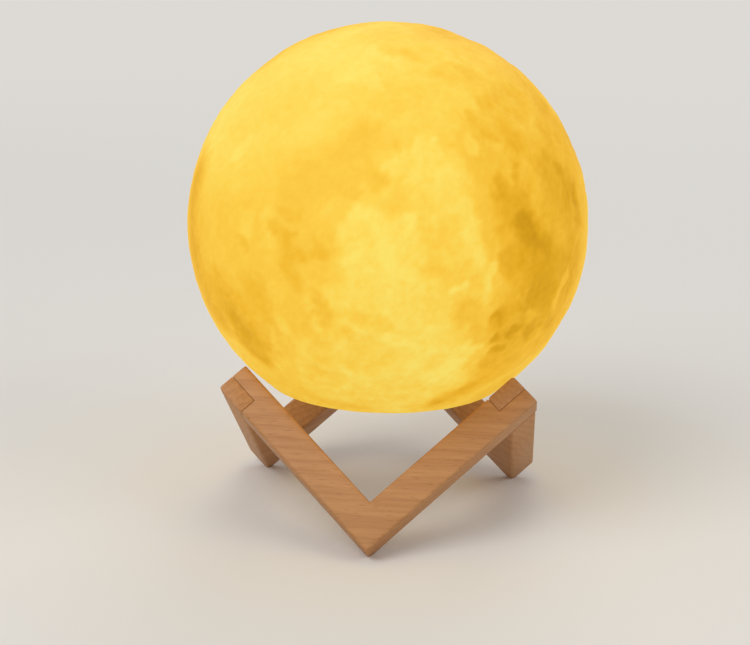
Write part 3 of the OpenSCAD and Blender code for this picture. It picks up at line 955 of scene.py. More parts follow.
@dataclass
class MoonShell:
    """The printed moon: a ball with a cratered skin, a flat floor and a collar round its opening.

    Attributes:
        wall: The thickness of the wall.
        floor: The thickness of the flat floor.
        opening: The radius of the opening.
        collar: The thickness of the collar.
        collar_height: How high the collar rises from the underside.
        steps: The steps round the axis.
        skin_band: How near the full radius a point of the spun ball is one of the skin's.
        still_band: How high above the flat the skin's points keep their height.
        skin_depth: How far the skin's middle level lies inside the ball's full radius.
        highest: How far the highest place lies inside it.
        deepest: How far the deepest place lies inside it.
        relief: How high a relief of 1 stands.
        middle_tone: The tone of the relief's middle level.
        tone_height: How far the relief rises with the tone.
        crater_tone: How far the tone is darkened in the craters' bowls and lightened on their rims: painted
            shade and painted highlight.
        calm: The share of the tone's mottling that the smooth side lacks.
        bends: How far the strokes' edges are bent, and the scale, octaves and first layer of the bends.
        inner_tone: The tone of the flat and the inside.
        craters: How many craters the skin has.
        crater_size: The radius of the smallest crater and how much wider the widest is, in degrees.
        crater_reach: How many radii from a crater's middle its rim is felt.
        seed: What the places of craters and of the back's strokes come from.
        smooth_side: The azimuth and elevation round which the tone is mottled least, in degrees.
        piece: The shell, once it is built.
    """

    wall: float = 2.2 * MM
    floor: float = 2.4 * MM
    opening: float = 35 * MM
    collar: float = 2.4 * MM
    collar_height: float = 8 * MM
    steps: int = 472
    skin_band: float = 0.25 * MM
    still_band: float = 1.2 * MM
    skin_depth: float = 0.38 * MM
    highest: float = 0.02 * MM
    deepest: float = 1.4 * MM
    relief: float = 0.8 * MM
    middle_tone: float = 0.7
    tone_height: float = 0.45
    crater_tone: float = 0.12
    calm: float = 0.6
    bends: tuple[tuple[float, float, int, int], ...] = ((0.035, 7, 3, 1), (0.012, 26, 2, 4))
    inner_tone: float = 0.34
    craters: int = 520
    crater_size: tuple[float, float] = (1.3, 7.5)
    crater_reach: float = 2.2
    seed: int = 11
    smooth_side: tuple[float, float] = (-40, 42)
    piece: bpy.types.Object = field(init=False)

    def __post_init__(self) -> None:
        """Takes the ball's size and place from the frame."""
        low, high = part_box("moon_shell")
        self.radius = (high.x - low.x) / 2
        self.middle = high.z - self.radius
        self.flat = low.z
        self.flat_radius = math.sqrt(self.radius**2 - (self.middle - self.flat) ** 2)

    def build(self) -> bpy.types.Object:
        """Models the shell and its relief.

        Returns:
            The piece.
        """
        self.piece = turned("moon", self._profile(), self.steps)
        self._sculpt()
        smooth(self.piece, 50)
        return self.piece

    def dress(self, materials: "Materials") -> None:
        """Gives the shell its material and its place in the frame.

        Args:
            materials: The materials of the record's slots.
        """
        dress(self.piece, materials.of("moon_print"))
        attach(self.piece, "globe")
        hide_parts("moon_shell")

    def _profile(self) -> list[tuple[float, float]]:
        """Works out the shell's section, from the top of the ball, down its skin and back inside.

        Returns:
            The radius and height of each point.
        """
        row = math.tau / self.steps
        down_to = math.acos((self.flat - self.middle) / self.radius)
        rows = round(down_to / row)
        skin = [
            (self.radius * math.sin(a), self.middle + self.radius * math.cos(a))
            for a in (down_to * index / rows for index in range(rows))
        ]
        inside = self.radius - self.wall
        floor_top = self.flat + self.floor
        up_from = math.acos((floor_top - self.middle) / inside)
        vault_rows = 18
        vault = [
            (inside * math.sin(a), self.middle + inside * math.cos(a))
            for a in (up_from * (1 - index / vault_rows) for index in range(vault_rows + 1))
        ]
        skin[0] = (0.0, skin[0][1])
        vault[-1] = (0.0, vault[-1][1])
        collar_top = self.flat + self.collar_height
        flat = eased(
            (
                (*skin[-1], 0),
                (self.flat_radius, self.flat, 0.35 * MM),
                (self.opening, self.flat, 0.3 * MM),
                (self.opening, collar_top, 0.4 * MM),
                (self.opening + self.collar, collar_top, 0.4 * MM),
                (self.opening + self.collar, floor_top, 0.4 * MM),
                (*vault[0], 0),
            ),
            3,
        )
        return skin + flat[1:-1] + vault

    def _sculpt(self) -> None:
        """Moves the skin's points inwards by the relief and keeps the tone there: how thin the print is,
        with painted shade on the rims and in the craters.
        """
        mesh = self.piece.data
        places = np.empty(len(mesh.vertices) * 3)
        mesh.vertices.foreach_get("co", places)
        places = places.reshape(-1, 3)
        centre = np.array((0.0, 0.0, self.middle))
        reach = np.linalg.norm(places - centre, axis=1)
        above = places[:, 2] - self.flat
        skin = (reach > self.radius - self.skin_band) & (above > -MM)
        ways = (places - centre) / np.maximum(reach, MM)[:, None]
        depth, tone = self._relief(ways[skin])
        carved = ways[skin] * np.minimum(reach[skin], self.radius - depth)[:, None] + centre
        still = above[skin] < self.still_band
        carved[still, 2] = places[skin][still, 2]
        places[skin] = carved
        mesh.vertices.foreach_set("co", places.ravel())
        thinness_and_painted_shade = np.full(len(mesh.vertices), self.inner_tone)
        thinness_and_painted_shade[skin] = tone
        layer = mesh.attributes.new(MoonPrint.tone_name, "FLOAT", "POINT")
        layer.data.foreach_set("value", thinness_and_painted_shade.astype(np.float32))
        mesh.update()

    def _relief(self, ways: np.ndarray) -> tuple[np.ndarray, np.ndarray]:
        """Works out the skin's relief and tone.

        Args:
            ways: The unit vectors from the ball's middle to each point.

        Returns:
            How deep each point lies inside the full radius, and its tone from 0 to 1.
        """
        bent = ways.copy()
        for reach, scale, octaves, first in self.bends:
            lumps = [Lumps(scale, octaves, first + axis).read(ways) for axis in range(3)]
            bent += reach * np.stack(lumps, axis=1)
        bent /= np.linalg.norm(bent, axis=1)[:, None]
        draw = np.random.default_rng(self.seed)
        tone = np.full(len(ways), 0.8)
        for stroke in (*BROAD_STROKES, *self._back_strokes(draw), *BRIGHT_STROKES, *DARK_STROKES):
            stroke.paint(tone, bent)
        mottles = [(lumps, lumps.read(ways)) for lumps in MOTTLES]
        pits, rims = self._craters(ways, draw)
        height = sum(lumps.height * level for lumps, level in mottles)
        height = height + self.tone_height * (tone - self.middle_tone) + rims - pits
        rough = 1 - self.calm * np.clip(ways @ way_to(*self.smooth_side), 0, 1) ** 2
        mottled = sum(lumps.tone * level for lumps, level in mottles)
        # Random mottling, plus painted shade in the craters' bowls and a painted highlight on their rims.
        tone += rough * (mottled + self.crater_tone * (rims - pits))
        depth = np.clip(self.skin_depth - height * self.relief, self.highest, self.deepest)
        return depth, np.clip(tone, 0, 1)

    @staticmethod
    def _back_strokes(draw: np.random.Generator) -> list[Stroke]:
        """Draws the strokes of the face's back, from broad to fine.

        Args:
            draw: Where they are drawn from.

        Returns:
            The strokes.
        """
        strokes = []
        # How many, half their width in degrees, their cover, and their lowest and highest tone.
        for count, width, cover, tones in (
            (24, 12.0, 0.8, (0.45, 0.95)),
            (70, 5.0, 0.55, (0.35, 1.0)),
            (160, 2.0, 0.4, (0.3, 1.0)),
        ):
            for _ in range(count):
                east = draw.uniform(84, 276)
                north = math.degrees(math.asin(draw.uniform(-0.78, 0.97)))
                wide = width * draw.uniform(0.6, 1.3)
                ahead = draw.uniform(0, math.tau)
                run = wide * draw.uniform(0.4, 2.2)
                reach = run * math.sin(ahead) / max(0.3, math.cos(math.radians(north)))
                end = (east + reach, min(80, north + run * math.cos(ahead)))
                strokes.append(Stroke(draw.uniform(*tones), wide, ((east, north), end), 0.8, cover))
        return strokes

    def _craters(self, ways: np.ndarray, draw: np.random.Generator) -> tuple[np.ndarray, np.ndarray]:
        """Strikes the craters.

        Args:
            ways: The unit vectors to the points.
            draw: Where the craters' places and sizes are drawn from.

        Returns:
            The depth of the bowls and the height of the rims at each point.
        """
        pits = np.zeros(len(ways))
        rims = np.zeros(len(ways))
        spots = draw.normal(size=(self.craters, 3))
        spots /= np.linalg.norm(spots, axis=1)[:, None]
        smallest, wider = self.crater_size
        sizes = smallest + wider * draw.random(self.craters) ** 4
        for spot, size in zip(spots, sizes):
            near = ways @ spot
            close = near > math.cos(math.radians(size * self.crater_reach))
            away = np.degrees(np.arccos(np.clip(near[close], -1, 1))) / size
            strength = min(0.7, 0.16 + 0.1 * size) * draw.uniform(0.4, 1)
            bowl = np.clip(1 - away**2, 0, 1) ** 0.8
            peak = np.exp(-((away / 0.22) ** 2)) * (0.5 if size > 4 else 0)
            rim = np.exp(-(((away - 1.05) / 0.2) ** 2)) + 0.25 * np.exp(-(((away - 1.3) / 0.4) ** 2))
            pits[close] += strength * (0.75 * bowl - peak * 0.5)
            rims[close] += strength * 0.5 * rim
        return pits, rims


# -------------------------------------------------------------------------------------------------- stand


@dataclass
class Leg:
    """One wooden leg: a right-angled board on its corner, which leans in and has a finger at each end.

    Attributes:
        name: The CAD node that it stands for.
        turn: Its place round the stand, in degrees.
        arm: The length of each arm along its outer edge.
        width: The bar's width, across the board.
        thickness: The board's thickness.
        ease: The rounding of the bar's long edges.
        foot: The depth of the level cut under the corner.
        gap: The gap in the finger joints.
        break_edge: The rounding of the sawn ends and fingers.
        log_place: Where the board lay in its log, which sets its own grain.
        piece: The leg, once it is built.
    """

    name: str
    turn: float
    arm: float = 82.7 * MM
    width: float = 12.9 * MM
    thickness: float = 12.6 * MM
    ease: float = 1.2 * MM
    foot: float = 1.8 * MM
    gap: float = 0.1 * MM
    break_edge: float = 0.25 * MM
    log_place: tuple[float, float, float] = (0.31, 0.17, 0.05)
    piece: bpy.types.Object = field(init=False)

    def build(self) -> bpy.types.Object:
        """Models the leg.

        Returns:
            The piece.
        """
        self._saw_board()
        with editing(self.piece):
            self._draw_second_arm()
            self._round_edges()
            self._add_fingers()
        self._stand_up()
        self._level_foot()
        apply_modifier(
            self.piece,
            "BEVEL",
            width=self.break_edge,
            segments=2,
            limit_method="ANGLE",
            angle_limit=math.radians(40),
        )
        self._mark_grain()
        smooth(self.piece, 35)
        return self.piece

    def dress(self, materials: "Materials") -> None:
        """Gives the leg its material and its place in the frame.

        Args:
            materials: The materials of the record's slots.
        """
        dress(self.piece, materials.of("wood"))
        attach(self.piece, "stand")
        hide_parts(self.name)

    @property
    def _shoulder(self) -> float:
        """The distance along an arm to where its finger starts."""
        return self.arm - self.thickness - self.gap

    @property
    def _place(self) -> Matrix:
        """The turn and move that take the flat board to its place in the stand."""
        lean = math.atan(1 / math.sqrt(2))
        out = self.arm * math.sqrt(2 / 3)
        up = self.thickness / math.sqrt(3) - self.foot
        return (
            Matrix.Rotation(math.radians(self.turn), 4, "Z")
            @ Matrix.Translation((0, -out, up))
            @ Matrix.Rotation(math.pi / 2 - lean, 4, "X")
            @ Matrix.Rotation(math.pi / 4, 4, "Z")
        )

    def _saw_board(self) -> None:
        """Cuts the board's first arm, up to the shoulder of its finger."""
        deselect()
        middle = (self._shoulder / 2, self.width / 2, -self.thickness / 2)
        bpy.ops.mesh.primitive_cube_add(size=1, location=middle)
        self.piece = bpy.context.object
        self.piece.name = self.piece.data.name = self.name.replace("leg", "wood_leg")
        self.piece.scale = (self._shoulder, self.width, self.thickness)
        bpy.ops.object.transform_apply(location=True, rotation=True, scale=True)

    def _draw_second_arm(self) -> None:
        """Extrudes the second arm out of the first one's end."""
        bpy.ops.mesh.select_all(action="SELECT")
        bpy.ops.mesh.bisect(plane_co=(self.width, 0, 0), plane_no=(1, 0, 0))
        pick_elements(self.piece, "FACE", lambda at, way: way.y > 0.9 and at.x < self.width)
        reach = (0, self._shoulder - self.width, 0)
        bpy.ops.mesh.extrude_region_move(TRANSFORM_OT_translate={"value": reach})

    def _round_edges(self) -> None:
        """Rounds the four long edges of both arms."""
        flats = (0.0, -self.thickness)

        def is_long(at: Vector, way: Vector) -> bool:
            """Says whether an edge runs along an arm, on the board's face or back.

            Args:
                at: The edge's middle.
                way: The way that it runs.

            Returns:
                True for the arms' long edges, and not for those at their ends.
            """
            on_face = min(abs(at.z - flat) for flat in flats) < HAIR
            along_first = abs(way.x) > 0.9 and (at.y < HAIR or at.x > self.width)
            along_second = abs(way.y) > 0.9 and (at.x < HAIR or at.y > self.width)
            at_end = (abs(way.y) > 0.9 and at.x > self._shoulder - MM) or (
                abs(way.x) > 0.9 and at.y > self._shoulder - MM
            )
            return on_face and (along_first or along_second) and not at_end

        pick_elements(self.piece, "EDGE", is_long)
        bpy.ops.mesh.bevel(offset=self.ease, segments=4, profile=0.5, affect="EDGES")

    def _add_fingers(self) -> None:
        """Extrudes the half-width finger at the end of each arm."""
        low = self.width / 2 - self.gap / 2
        high = self.width / 2 + self.gap / 2
        bpy.ops.mesh.select_all(action="SELECT")
        bpy.ops.mesh.bisect(plane_co=(0, low, 0), plane_no=(0, 1, 0))
        bpy.ops.mesh.select_all(action="SELECT")
        bpy.ops.mesh.bisect(plane_co=(high, 0, 0), plane_no=(1, 0, 0))
        reach = self.thickness + self.gap
        pick_elements(
            self.piece, "FACE", lambda at, way: way.x > 0.9 and at.x > self._shoulder - MM and at.y < low
        )
        bpy.ops.mesh.extrude_region_move(TRANSFORM_OT_translate={"value": (reach, 0, 0)})
        pick_elements(
            self.piece, "FACE", lambda at, way: way.y > 0.9 and at.y > self._shoulder - MM and at.x > high
        )
        bpy.ops.mesh.extrude_region_move(TRANSFORM_OT_translate={"value": (0, reach, 0)})
        bpy.ops.mesh.select_all(action="SELECT")
        bpy.ops.mesh.dissolve_limited(angle_limit=math.radians(0.5))

    def _stand_up(self) -> None:
        """Brings the board to its place in the stand."""
        moved(self.piece, self._place)

    def _level_foot(self) -> None:
        """Cuts the corner level where it meets the table."""
        with editing(self.piece):
            bpy.ops.mesh.select_all(action="SELECT")
            bpy.ops.mesh.bisect(plane_co=(0, 0, 0), plane_no=(0, 0, 1), use_fill=True, clear_inner=True)
            close_up()

    def _mark_grain(self) -> None:
        """Keeps each point's place in the flat board, with the grain along X, for the wood's pattern."""
        mesh = self.piece.data
        board = Matrix.Rotation(math.pi / 4, 4, "Z") @ self._place.inverted()
        shift = Vector(self.log_place) * (1 + self.turn / 120)
        layer = mesh.attributes.new(Beech.grain_name, "FLOAT_VECTOR", "POINT")
        for vertex, place in zip(mesh.vertices, layer.data):
            place.vector = board @ vertex.co + shift


# --------------------------------------------------------------------------------------------------- base


def set_round(piece: bpy.types.Object, reach: float, angles: Iterable[float]) -> list[bpy.types.Object]:
    """Copies a piece from the lamp's axis to places round it, and deletes the first one.

    Args:
        piece: The piece, modelled on the axis.
        reach: The distance of each copy from the axis.
        angles: The angle of each copy, from +X towards +Y, in degrees.

    Returns:
        The copies, each with its own mesh.
    """
    copies = []
    for angle in angles:
        pick_only(piece)
        bpy.ops.object.duplicate()
        turn = Matrix.Rotation(math.radians(angle), 4, "Z")
        copies.append(moved(bpy.context.object, turn @ Matrix.Translation((reach, 0, 0))))
    pick_only(piece)
    bpy.ops.object.delete()
    return copies


def combine(piece: bpy.types.Object, tools: list[bpy.types.Object], operation: str) -> None:
    """Joins solids to a piece, or cuts them away from it, and deletes them.

    Args:
        piece: The piece.
        tools: The solids, which don't touch each other.
        operation: UNION or DIFFERENCE.
    """
    pick_only(*tools)
    if len(tools) > 1:
        bpy.ops.object.join()
    apply_modifier(piece, "BOOLEAN", operation=operation, solver="EXACT", object=tools[0])
    pick_only(tools[0])
    bpy.ops.object.delete()


@dataclass
class Base:
    """The base under the moon's flat: a white housing, a plated ring in its rim and a push button.

    Its heights are taken from the underside of the moon's flat.

    Attributes:
        rim: The radius of the rim, which seats under the moon's flat.
        outside: The radius of the housing's wall.
        inside: The radius inside that wall.
        under: The height of the underside.
        floor: The height of the floor inside.
        top: The height of the wall's top.
        ring_inside: The inner radius of the plated ring.
        ring_top: The height of the rebate that takes the ring.
        ring_under: The height of the ring's underside.
        hook: The radius that the snap hooks reach, and the heights of their seat, land and root.
        hook_angle: The width of a hook, in degrees.
        boss: The radius of the screw bosses and columns.
        bore: The radius of their bores.
        bore_depth: The depth of their bores.
        board_bosses: The distance from the axis and the top of the bosses under the control board.
        columns: The distance from the axis and the top of the columns under the cover.
        button: The radius of the button.
        button_hole: The radius of its hole.
        button_under: The height of the button's underside.
        dish: The depth of the hollow in the button.
        flange: The radius of the button's retaining flange, and the heights of its underside and its top.
        stem: The radius and the top of the stem that presses the switch.
        lens_hole: The radius of the indicator's hole and its distance from the axis.
        socket_hole: The length, the width and the distance from the axis of the charging socket's hole.
        flare: The chamfer at the mouths of both holes.
        pieces: The housing, the ring and the button, by the CAD node that each stands for.
    """

    rim: float = 38 * MM
    outside: float = 34.8 * MM
    inside: float = 32.8 * MM
    under: float = -1.2 * MM
    floor: float = 1 * MM
    top: float = 20.55 * MM
    ring_inside: float = 34.6 * MM
    ring_top: float = -0.6 * MM
    ring_under: float = -1.4 * MM
    hook: tuple[float, ...] = (35.7 * MM, 8.2 * MM, 8.8 * MM, 10.6 * MM)
    hook_angle: float = 16
    boss: float = 3 * MM
    bore: float = 1.15 * MM
    bore_depth: float = 6.5 * MM
    board_bosses: tuple[float, float] = (27 * MM, 7.15 * MM)
    columns: tuple[float, float] = (30.5 * MM, 20.5 * MM)
    button: float = 5.5 * MM
    button_hole: float = 5.6 * MM
    button_under: float = -1.5 * MM
    dish: float = 0.35 * MM
    flange: tuple[float, ...] = (6.7 * MM, 1.05 * MM, 1.85 * MM)
    stem: tuple[float, float] = (1.6 * MM, 2.35 * MM)
    lens_hole: tuple[float, float] = (1.55 * MM, 13 * MM)
    socket_hole: tuple[float, ...] = (9.34 * MM, 3.66 * MM, 16 * MM)
    flare: float = 0.3 * MM
    pieces: dict[str, bpy.types.Object] = field(init=False, default_factory=dict)

    def __post_init__(self) -> None:
        """Takes the height of the moon's flat from the frame."""
        self.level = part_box("moon_shell")[0].z

    def build(self) -> dict[str, bpy.types.Object]:
        """Models the housing, the ring and the button.

        Returns:
            The pieces, by the CAD node that each stands for.
        """
        self.pieces["base_housing"] = self._mould_housing()
        self.pieces["trim_ring"] = self._turn_ring()
        self.pieces["power_button"] = self._mould_button()
        for piece in self.pieces.values():
            smooth(piece, 32)
        return self.pieces

    def dress(self, materials: "Materials") -> None:
        """Gives the pieces their materials and their places in the frame.

        Args:
            materials: The materials of the record's slots.
        """
        slots = {
            "base_housing": "white_plastic",
            "trim_ring": "plated_trim",
            "power_button": "button_plastic",
        }
        for node, piece in self.pieces.items():
            dress(piece, materials.of(slots[node]))
            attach(piece, "button" if node == "power_button" else "globe")
            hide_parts(node)

    def _turn(
        self, name: str, corners: Iterable[tuple[float, float, float]], steps: int, **how: object
    ) -> bpy.types.Object:
        """Turns a profile with eased corners, at the base's height."""
        return turned(name, [(r, z + self.level) for r, z in eased(corners, 4)], steps, **how)

    def _mould_housing(self) -> bpy.types.Object:
        """Models the cup with its rim, adds what stands in it and cuts its holes.

        Returns:
            The piece.
        """
        middle = (self.button_hole + self.inside) / 2
        rebate = self.ring_inside - 0.1 * MM
        cup = self._turn(
            "housing",
            (
                (middle, self.floor, 0),
                (self.button_hole, self.floor, 0.2 * MM),
                (self.button_hole, self.under, 0.35 * MM),
                (rebate, self.under, 0.2 * MM),
                (rebate, self.ring_top, 0),
                (self.rim, self.ring_top, 0.15 * MM),
                (self.rim, 0, 0.2 * MM),
                (self.outside, 0, 0),
                (self.outside, self.top, 0.3 * MM),
                (self.inside, self.top, 0.3 * MM),
                (self.inside, self.floor, 0.8 * MM),
                (middle + MM, self.floor, 0),
            ),
            192,
            closed=True,
        )
        combine(cup, self._snap_hooks(), "UNION")
        low = self.floor - 0.1 * MM
        round_board, round_cover = (90, 210, 330), (45, 135, 225, 315)
        for (reach, top), angles in ((self.board_bosses, round_board), (self.columns, round_cover)):
            post = self._rod("post", self.boss, low, top, 48, 0.2 * MM)
            combine(cup, set_round(post, reach, angles), "UNION")
            bore = self._rod("bore", self.bore, top - self.bore_depth, top + MM, 32)
            combine(cup, set_round(bore, reach, angles), "DIFFERENCE")
        combine(cup, [self._lens_cutter(), self._socket_cutter()], "DIFFERENCE")
        return cup

    def _rod(
        self, name: str, radius: float, low: float, high: float, steps: int, ease: float = 0
    ) -> bpy.types.Object:
        """Models a round rod on the lamp's axis, with its upper edge eased."""
        return self._turn(name, ((0, low, 0), (radius, low, 0), (radius, high, ease), (0, high, 0)), steps)

    def _snap_hooks(self) -> list[bpy.types.Object]:
        """Models the four hooks that hold the base behind the moon's collar.

        Returns:
            The hooks.
        """
        tip, seat, land, root = self.hook
        wall = (self.inside + self.outside) / 2
        hook = self._turn(
            "hook",
            ((wall, seat, 0), (tip, seat, 0.1 * MM), (tip, land, 0.2 * MM), (wall, root, 0)),
            8,
            closed=True,
            angle=math.radians(self.hook_angle),
        )
        return set_round(hook, 0, [quarter * 90 - self.hook_angle / 2 for quarter in range(4)])

    def _flared_cutter(self, name: str, radius: float, steps: int) -> bpy.types.Object:
        """Models a round cutter that widens towards the underside, on the lamp's axis."""
        low = self.under - self.flare
        return self._turn(
            name,
            (
                (0, low, 0),
                (radius + 2 * self.flare, low, 0),
                (radius, self.under + self.flare, 0),
                (radius, self.floor + MM, 0),
                (0, self.floor + MM, 0),
            ),
            steps,
        )

    def _lens_cutter(self) -> bpy.types.Object:
        """Models the cutter for the indicator's hole."""
        radius, reach = self.lens_hole
        return moved(self._flared_cutter("lens_cutter", radius, 48), Matrix.Translation((0, reach, 0)))

    def _socket_cutter(self) -> bpy.types.Object:
        """Models the cutter for the charging socket's hole, a round cutter drawn out sideways."""
        length, width, reach = self.socket_hole
        cutter = self._flared_cutter("socket_cutter", width / 2, 50)
        with editing(cutter):
            bpy.ops.mesh.select_mode(type="VERT")
            for side in (-1, 1):
                bpy.ops.mesh.select_all(action="DESELECT")
                mesh = bmesh.from_edit_mesh(cutter.data)
                for vertex in mesh.verts:
                    vertex.select_set(vertex.co.x * side > HAIR)
                bmesh.update_edit_mesh(cutter.data)
                bpy.ops.transform.translate(value=(side * (length - width) / 2, 0, 0))
        return moved(cutter, Matrix.Translation((0, -reach, 0)))

    def _turn_ring(self) -> bpy.types.Object:
        """Models the plated ring, with a softly rounded face.

        Returns:
            The piece.
        """
        middle = (self.ring_inside + self.rim) / 2
        return self._turn(
            "plated_ring",
            (
                (middle, self.ring_top, 0),
                (self.ring_inside, self.ring_top, 0.05 * MM),
                (self.ring_inside, self.ring_under, 0.3 * MM),
                (self.rim, self.ring_under, 0.45 * MM),
                (self.rim, self.ring_top, 0.05 * MM),
                (middle + MM, self.ring_top, 0),
            ),
            256,
            closed=True,
        )

    def _mould_button(self) -> bpy.types.Object:
        """Models the button, dished for the finger, with its retaining flange and stem.

        Returns:
            The piece.
        """
        reach, low, high = self.flange
        stem, stem_top = self.stem
        edge = self.button - 0.7 * MM
        shares = (0, 0.2, 0.4, 0.6, 0.8)
        hollow = [(edge * share, self.button_under + self.dish * (1 - share**2), 0) for share in shares]
        return self._turn(
            "push_button",
            (
                *hollow,
                (edge, self.button_under, 0.4 * MM),
                (self.button, self.button_under, 0.45 * MM),
                (self.button, low, 0),
                (reach, low, 0.15 * MM),
                (reach, high, 0.15 * MM),
                (stem, high, 0.1 * MM),
                (stem, stem_top, 0.2 * MM),
                (0, stem_top, 0),
            ),
            96,
        )


# ------------------------------------------------------------------------------------------------- studio


@dataclass
class Studio:
    """The pale floor, the soft light and the camera.

    Attributes:
        eye: Where the camera stands.
        aim: What it looks at.
        roll: How far it is rolled, in radians.
        lens: Its focal length, in millimetres on a sensor 36 mm wide.
        floor_tone: The floor's colour.
        backdrop: The even colour that the floor fades into behind the lamp.
        fade: How far from the lamp the floor starts to fade into it, and where it has.
        sky: How strongly the world lights the object.
    """

    eye: Vector = field(default_factory=lambda: Vector((54.54, -656.87, 257.34)) * MM)
    aim: Vector = field(default_factory=lambda: Vector((-4.11, -0.37, 71.02)) * MM)
    roll: float = 0.01478
    lens: float = 86.255
    floor_tone: Colour = srgb(228, 225, 220)
    backdrop: Colour = srgb(221, 218, 213)
    fade: tuple[float, float] = (0.25, 1.3)
    sky: float = 0.5

    def build(self) -> None:
        """Sets up the camera, the floor and the lights."""
        self._set_camera()
        self._lay_floor()
        self._hang_lights()
        self._paint_world()
        bpy.context.scene.view_settings.view_transform = "Standard"

    def _set_camera(self) -> None:
        """Places the camera as the photograph was taken."""
        data = bpy.data.cameras.new("camera")
        data.lens = self.lens
        data.sensor_width = 36
        camera = bpy.data.objects.new("camera", data)
        bpy.context.scene.collection.objects.link(camera)
        aim = (self.aim - self.eye).to_track_quat("-Z", "Y").to_matrix()
        turned_aim = aim @ Matrix.Rotation(self.roll, 3, "Z")
        camera.matrix_world = Matrix.Translation(self.eye) @ turned_aim.to_4x4()
        bpy.context.scene.camera = camera

    def _lay_floor(self) -> None:
        """Lays a wide floor that fades into the backdrop. Only the camera sees through it, from below."""
        deselect()
        bpy.ops.mesh.primitive_plane_add(size=60)
        floor = bpy.context.object
        floor.name = "floor"
        shader = Shader("floor")
        shader.set(Base_Color=self.floor_tone, Roughness=0.8, Specular_IOR_Level=0.2)
        rays = shader.node("ShaderNodeLightPath").outputs
        camera = Value(shader, rays["Is Camera Ray"])
        seen = camera + Value(shader, rays["Is Glossy Ray"]) + Value(shader, rays["Is Transmission Ray"])
        far = shader.length(shader.place).between(*self.fade)
        glow = shader.node("ShaderNodeEmission", None, {"Color": self.backdrop, "Strength": 1.0})
        faded = shader.node(
            "ShaderNodeMixShader",
            None,
            {"Fac": far * seen, 1: shader.surface.outputs[0], 2: glow.outputs[0]},
        )
        below = Value(shader, shader.node("ShaderNodeNewGeometry").outputs["Backfacing"])
        clear = shader.node("ShaderNodeBsdfTransparent")
        either = shader.node(
            "ShaderNodeMixShader", None, {"Fac": below * camera, 1: faded.outputs[0], 2: clear.outputs[0]}
        )
        shader.feed(shader.output.inputs["Surface"], either.outputs[0])
        dress(floor, shader.material)

    def _hang_lights(self) -> None:
        """Hangs a large soft key light at the front left, and weaker ones at the right and behind."""
        lamp_middle = Vector((0, 0, 0.09))
        # Name, place and width in metres, and power in watts.
        for name, place, size, power in (
            ("key", (-0.9, -1.1, 1.5), 1.4, 17.0),
            ("fill", (1.3, -0.6, 0.9), 1.2, 5.0),
            ("rear", (0.2, 1.5, 1.2), 1.2, 6.0),
        ):
            data = bpy.data.lights.new(name, "AREA")
            data.shape = "DISK"
            data.size = size
            data.energy = power
            lamp = bpy.data.objects.new(name, data)
            lamp.location = place
            lamp.rotation_euler = (lamp_middle - Vector(place)).to_track_quat("-Z", "Y").to_euler()
            bpy.context.scene.collection.objects.link(lamp)

    def _paint_world(self) -> None:
        """Gives the world a soft white light, and the backdrop's colour where it is seen itself."""
        world = bpy.data.worlds.new("studio")
        world.use_nodes = True
        tree = world.node_tree
        light = tree.nodes["Background"]
        light.inputs["Color"].default_value = (1, 1, 1, 1)
        light.inputs["Strength"].default_value = self.sky
        look = tree.nodes.new("ShaderNodeBackground")
        look.inputs["Color"].default_value = (*self.backdrop, 1)
        path = tree.nodes.new("ShaderNodeLightPath")
        either = tree.nodes.new("ShaderNodeMixShader")
        tree.links.new(path.outputs["Is Camera Ray"], either.inputs["Fac"])
        tree.links.new(light.outputs["Background"], either.inputs[1])
        tree.links.new(look.outputs["Background"], either.inputs[2])
        tree.links.new(either.outputs["Shader"], tree.nodes["World Output"].inputs["Surface"])
        bpy.context.scene.world = world


# ------------------------------------------------------------------------------------------- CAD finishes

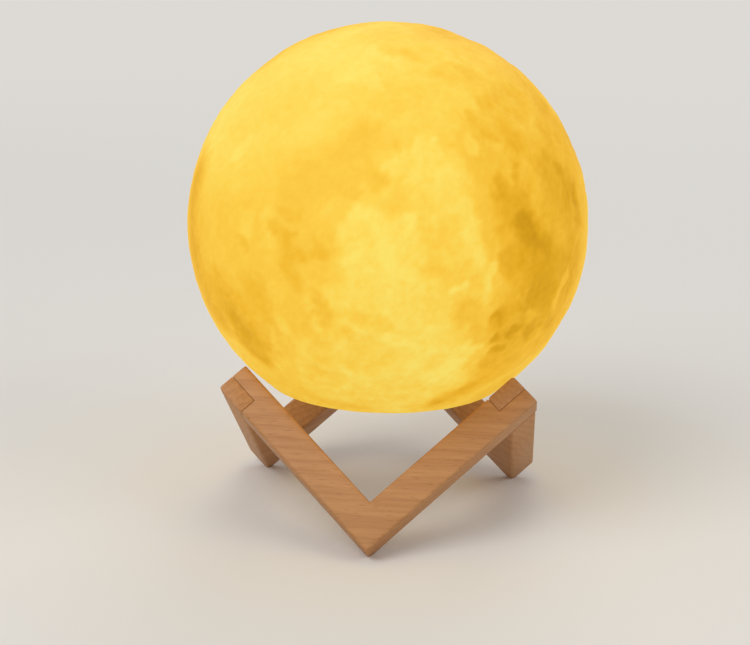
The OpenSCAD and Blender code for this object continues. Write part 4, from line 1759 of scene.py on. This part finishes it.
FINISHES = {
    "wood": Beech(),
    "moon_print": MoonPrint(),
    "white_plastic": Finish(srgb(240, 239, 235), srgb(228, 227, 223), (0.42, 0.52)),
    "button_plastic": Finish(srgb(231, 231, 229), srgb(222, 222, 220), (0.22, 0.3), grain=1.5 * MM),
    "plated_trim": TurnedMetal(srgb(229, 229, 231), srgb(207, 207, 211)),
    "steel": Finish(
        srgb(205, 205, 207),
        srgb(178, 178, 181),
        (0.26, 0.4),
        metallic=1.0,
        patch=2 * MM,
        grain=0.2 * MM,
        depth=0.01 * MM,
    ),
    "lens_plastic": Finish(
        srgb(240, 244, 246), srgb(230, 236, 240), (0.1, 0.16), grain=1.2 * MM, transmission=0.8
    ),
    "black_plastic": Finish(srgb(44, 44, 46), srgb(34, 34, 36), (0.4, 0.55)),
    "circuit_board": BoardMask(srgb(18, 92, 52), srgb(34, 122, 74)),
    "ferrite": Finish(
        srgb(84, 84, 87), srgb(62, 62, 65), (0.6, 0.75), metallic=0.3, patch=2 * MM, grain=0.3 * MM
    ),
    "capacitor_can": Finish(
        srgb(212, 212, 215),
        srgb(192, 192, 196),
        (0.22, 0.32),
        metallic=1.0,
        patch=2 * MM,
        grain=0.3 * MM,
        depth=0.01 * MM,
    ),
    "foam": Finish(
        srgb(150, 150, 152),
        srgb(98, 98, 100),
        (0.85, 0.95),
        grain=0.35 * MM,
        depth=0.15 * MM,
        texture=Texture.CELLS,
    ),
    "cell_foil": Finish(
        srgb(206, 208, 212),
        srgb(182, 184, 190),
        (0.28, 0.42),
        metallic=0.9,
        patch=6 * MM,
        grain=2.5 * MM,
        depth=0.12 * MM,
        texture=Texture.WRINKLES,
    ),
    "guard_tape": Finish(
        srgb(222, 150, 42),
        srgb(196, 122, 26),
        (0.18, 0.3),
        grain=1.2 * MM,
        depth=0.05 * MM,
        texture=Texture.WRINKLES,
        coat=0.3,
    ),
    "connector_plastic": Finish(srgb(238, 232, 214), srgb(226, 219, 199), (0.38, 0.48)),
    "wire_red": Finish(srgb(196, 34, 26), srgb(178, 26, 20), (0.35, 0.45), patch=3 * MM, grain=0.3 * MM),
    "wire_black": Finish(srgb(36, 36, 37), srgb(27, 27, 28), (0.35, 0.45), patch=3 * MM, grain=0.3 * MM),
    "light_board": Finish(srgb(240, 240, 238), srgb(230, 230, 228), (0.3, 0.38), coat=0.2),
    "light_chip": Finish(srgb(252, 214, 92), srgb(240, 192, 66), (0.16, 0.26), patch=1 * MM, coat=0.4),
    "diffuser_plastic": Finish(srgb(250, 247, 238), srgb(243, 240, 230), (0.32, 0.42), transmission=0.35),
}


class Materials:
    """Makes the material of each of the record's slots once."""

    def __init__(self) -> None:
        """Starts with none made."""
        self.made: dict[str, bpy.types.Material] = {}

    def of(self, slot: str) -> bpy.types.Material:
        """Returns a slot's material."""
        if slot not in self.made:
            self.made[slot] = FINISHES[slot].material(slot)
        return self.made[slot]


def dress_cad_nodes(materials: Materials) -> None:
    """Gives each CAD node that still shows the finish of its slot in the record."""
    for row in frame["record"]["subparts"]:
        node = frame["nodes"][row["node"]]
        if not node.hide_render:
            dress(node, materials.of(row["material_slot"]))
            log.info("%s keeps its CAD shape, finished as %s", row["node"], row["material_slot"])


def main() -> None:
    """Builds the lamp's looks around the frame."""
    logging.basicConfig(level=logging.INFO, format="%(name)s: %(message)s")
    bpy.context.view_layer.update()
    Studio().build()
    materials = Materials()
    legs = [Leg(name, turn) for name, turn in (("leg_front", 0), ("leg_right", 120), ("leg_left", 240))]
    for part in (MoonShell(), *legs, Base()):
        built = part.build()
        part.dress(materials)
        for piece in built.values() if isinstance(built, dict) else (built,):
            log.info("%s has %d faces", piece.name, len(piece.data.polygons))
    dress_cad_nodes(materials)


if __name__ == "__main__":
    main()
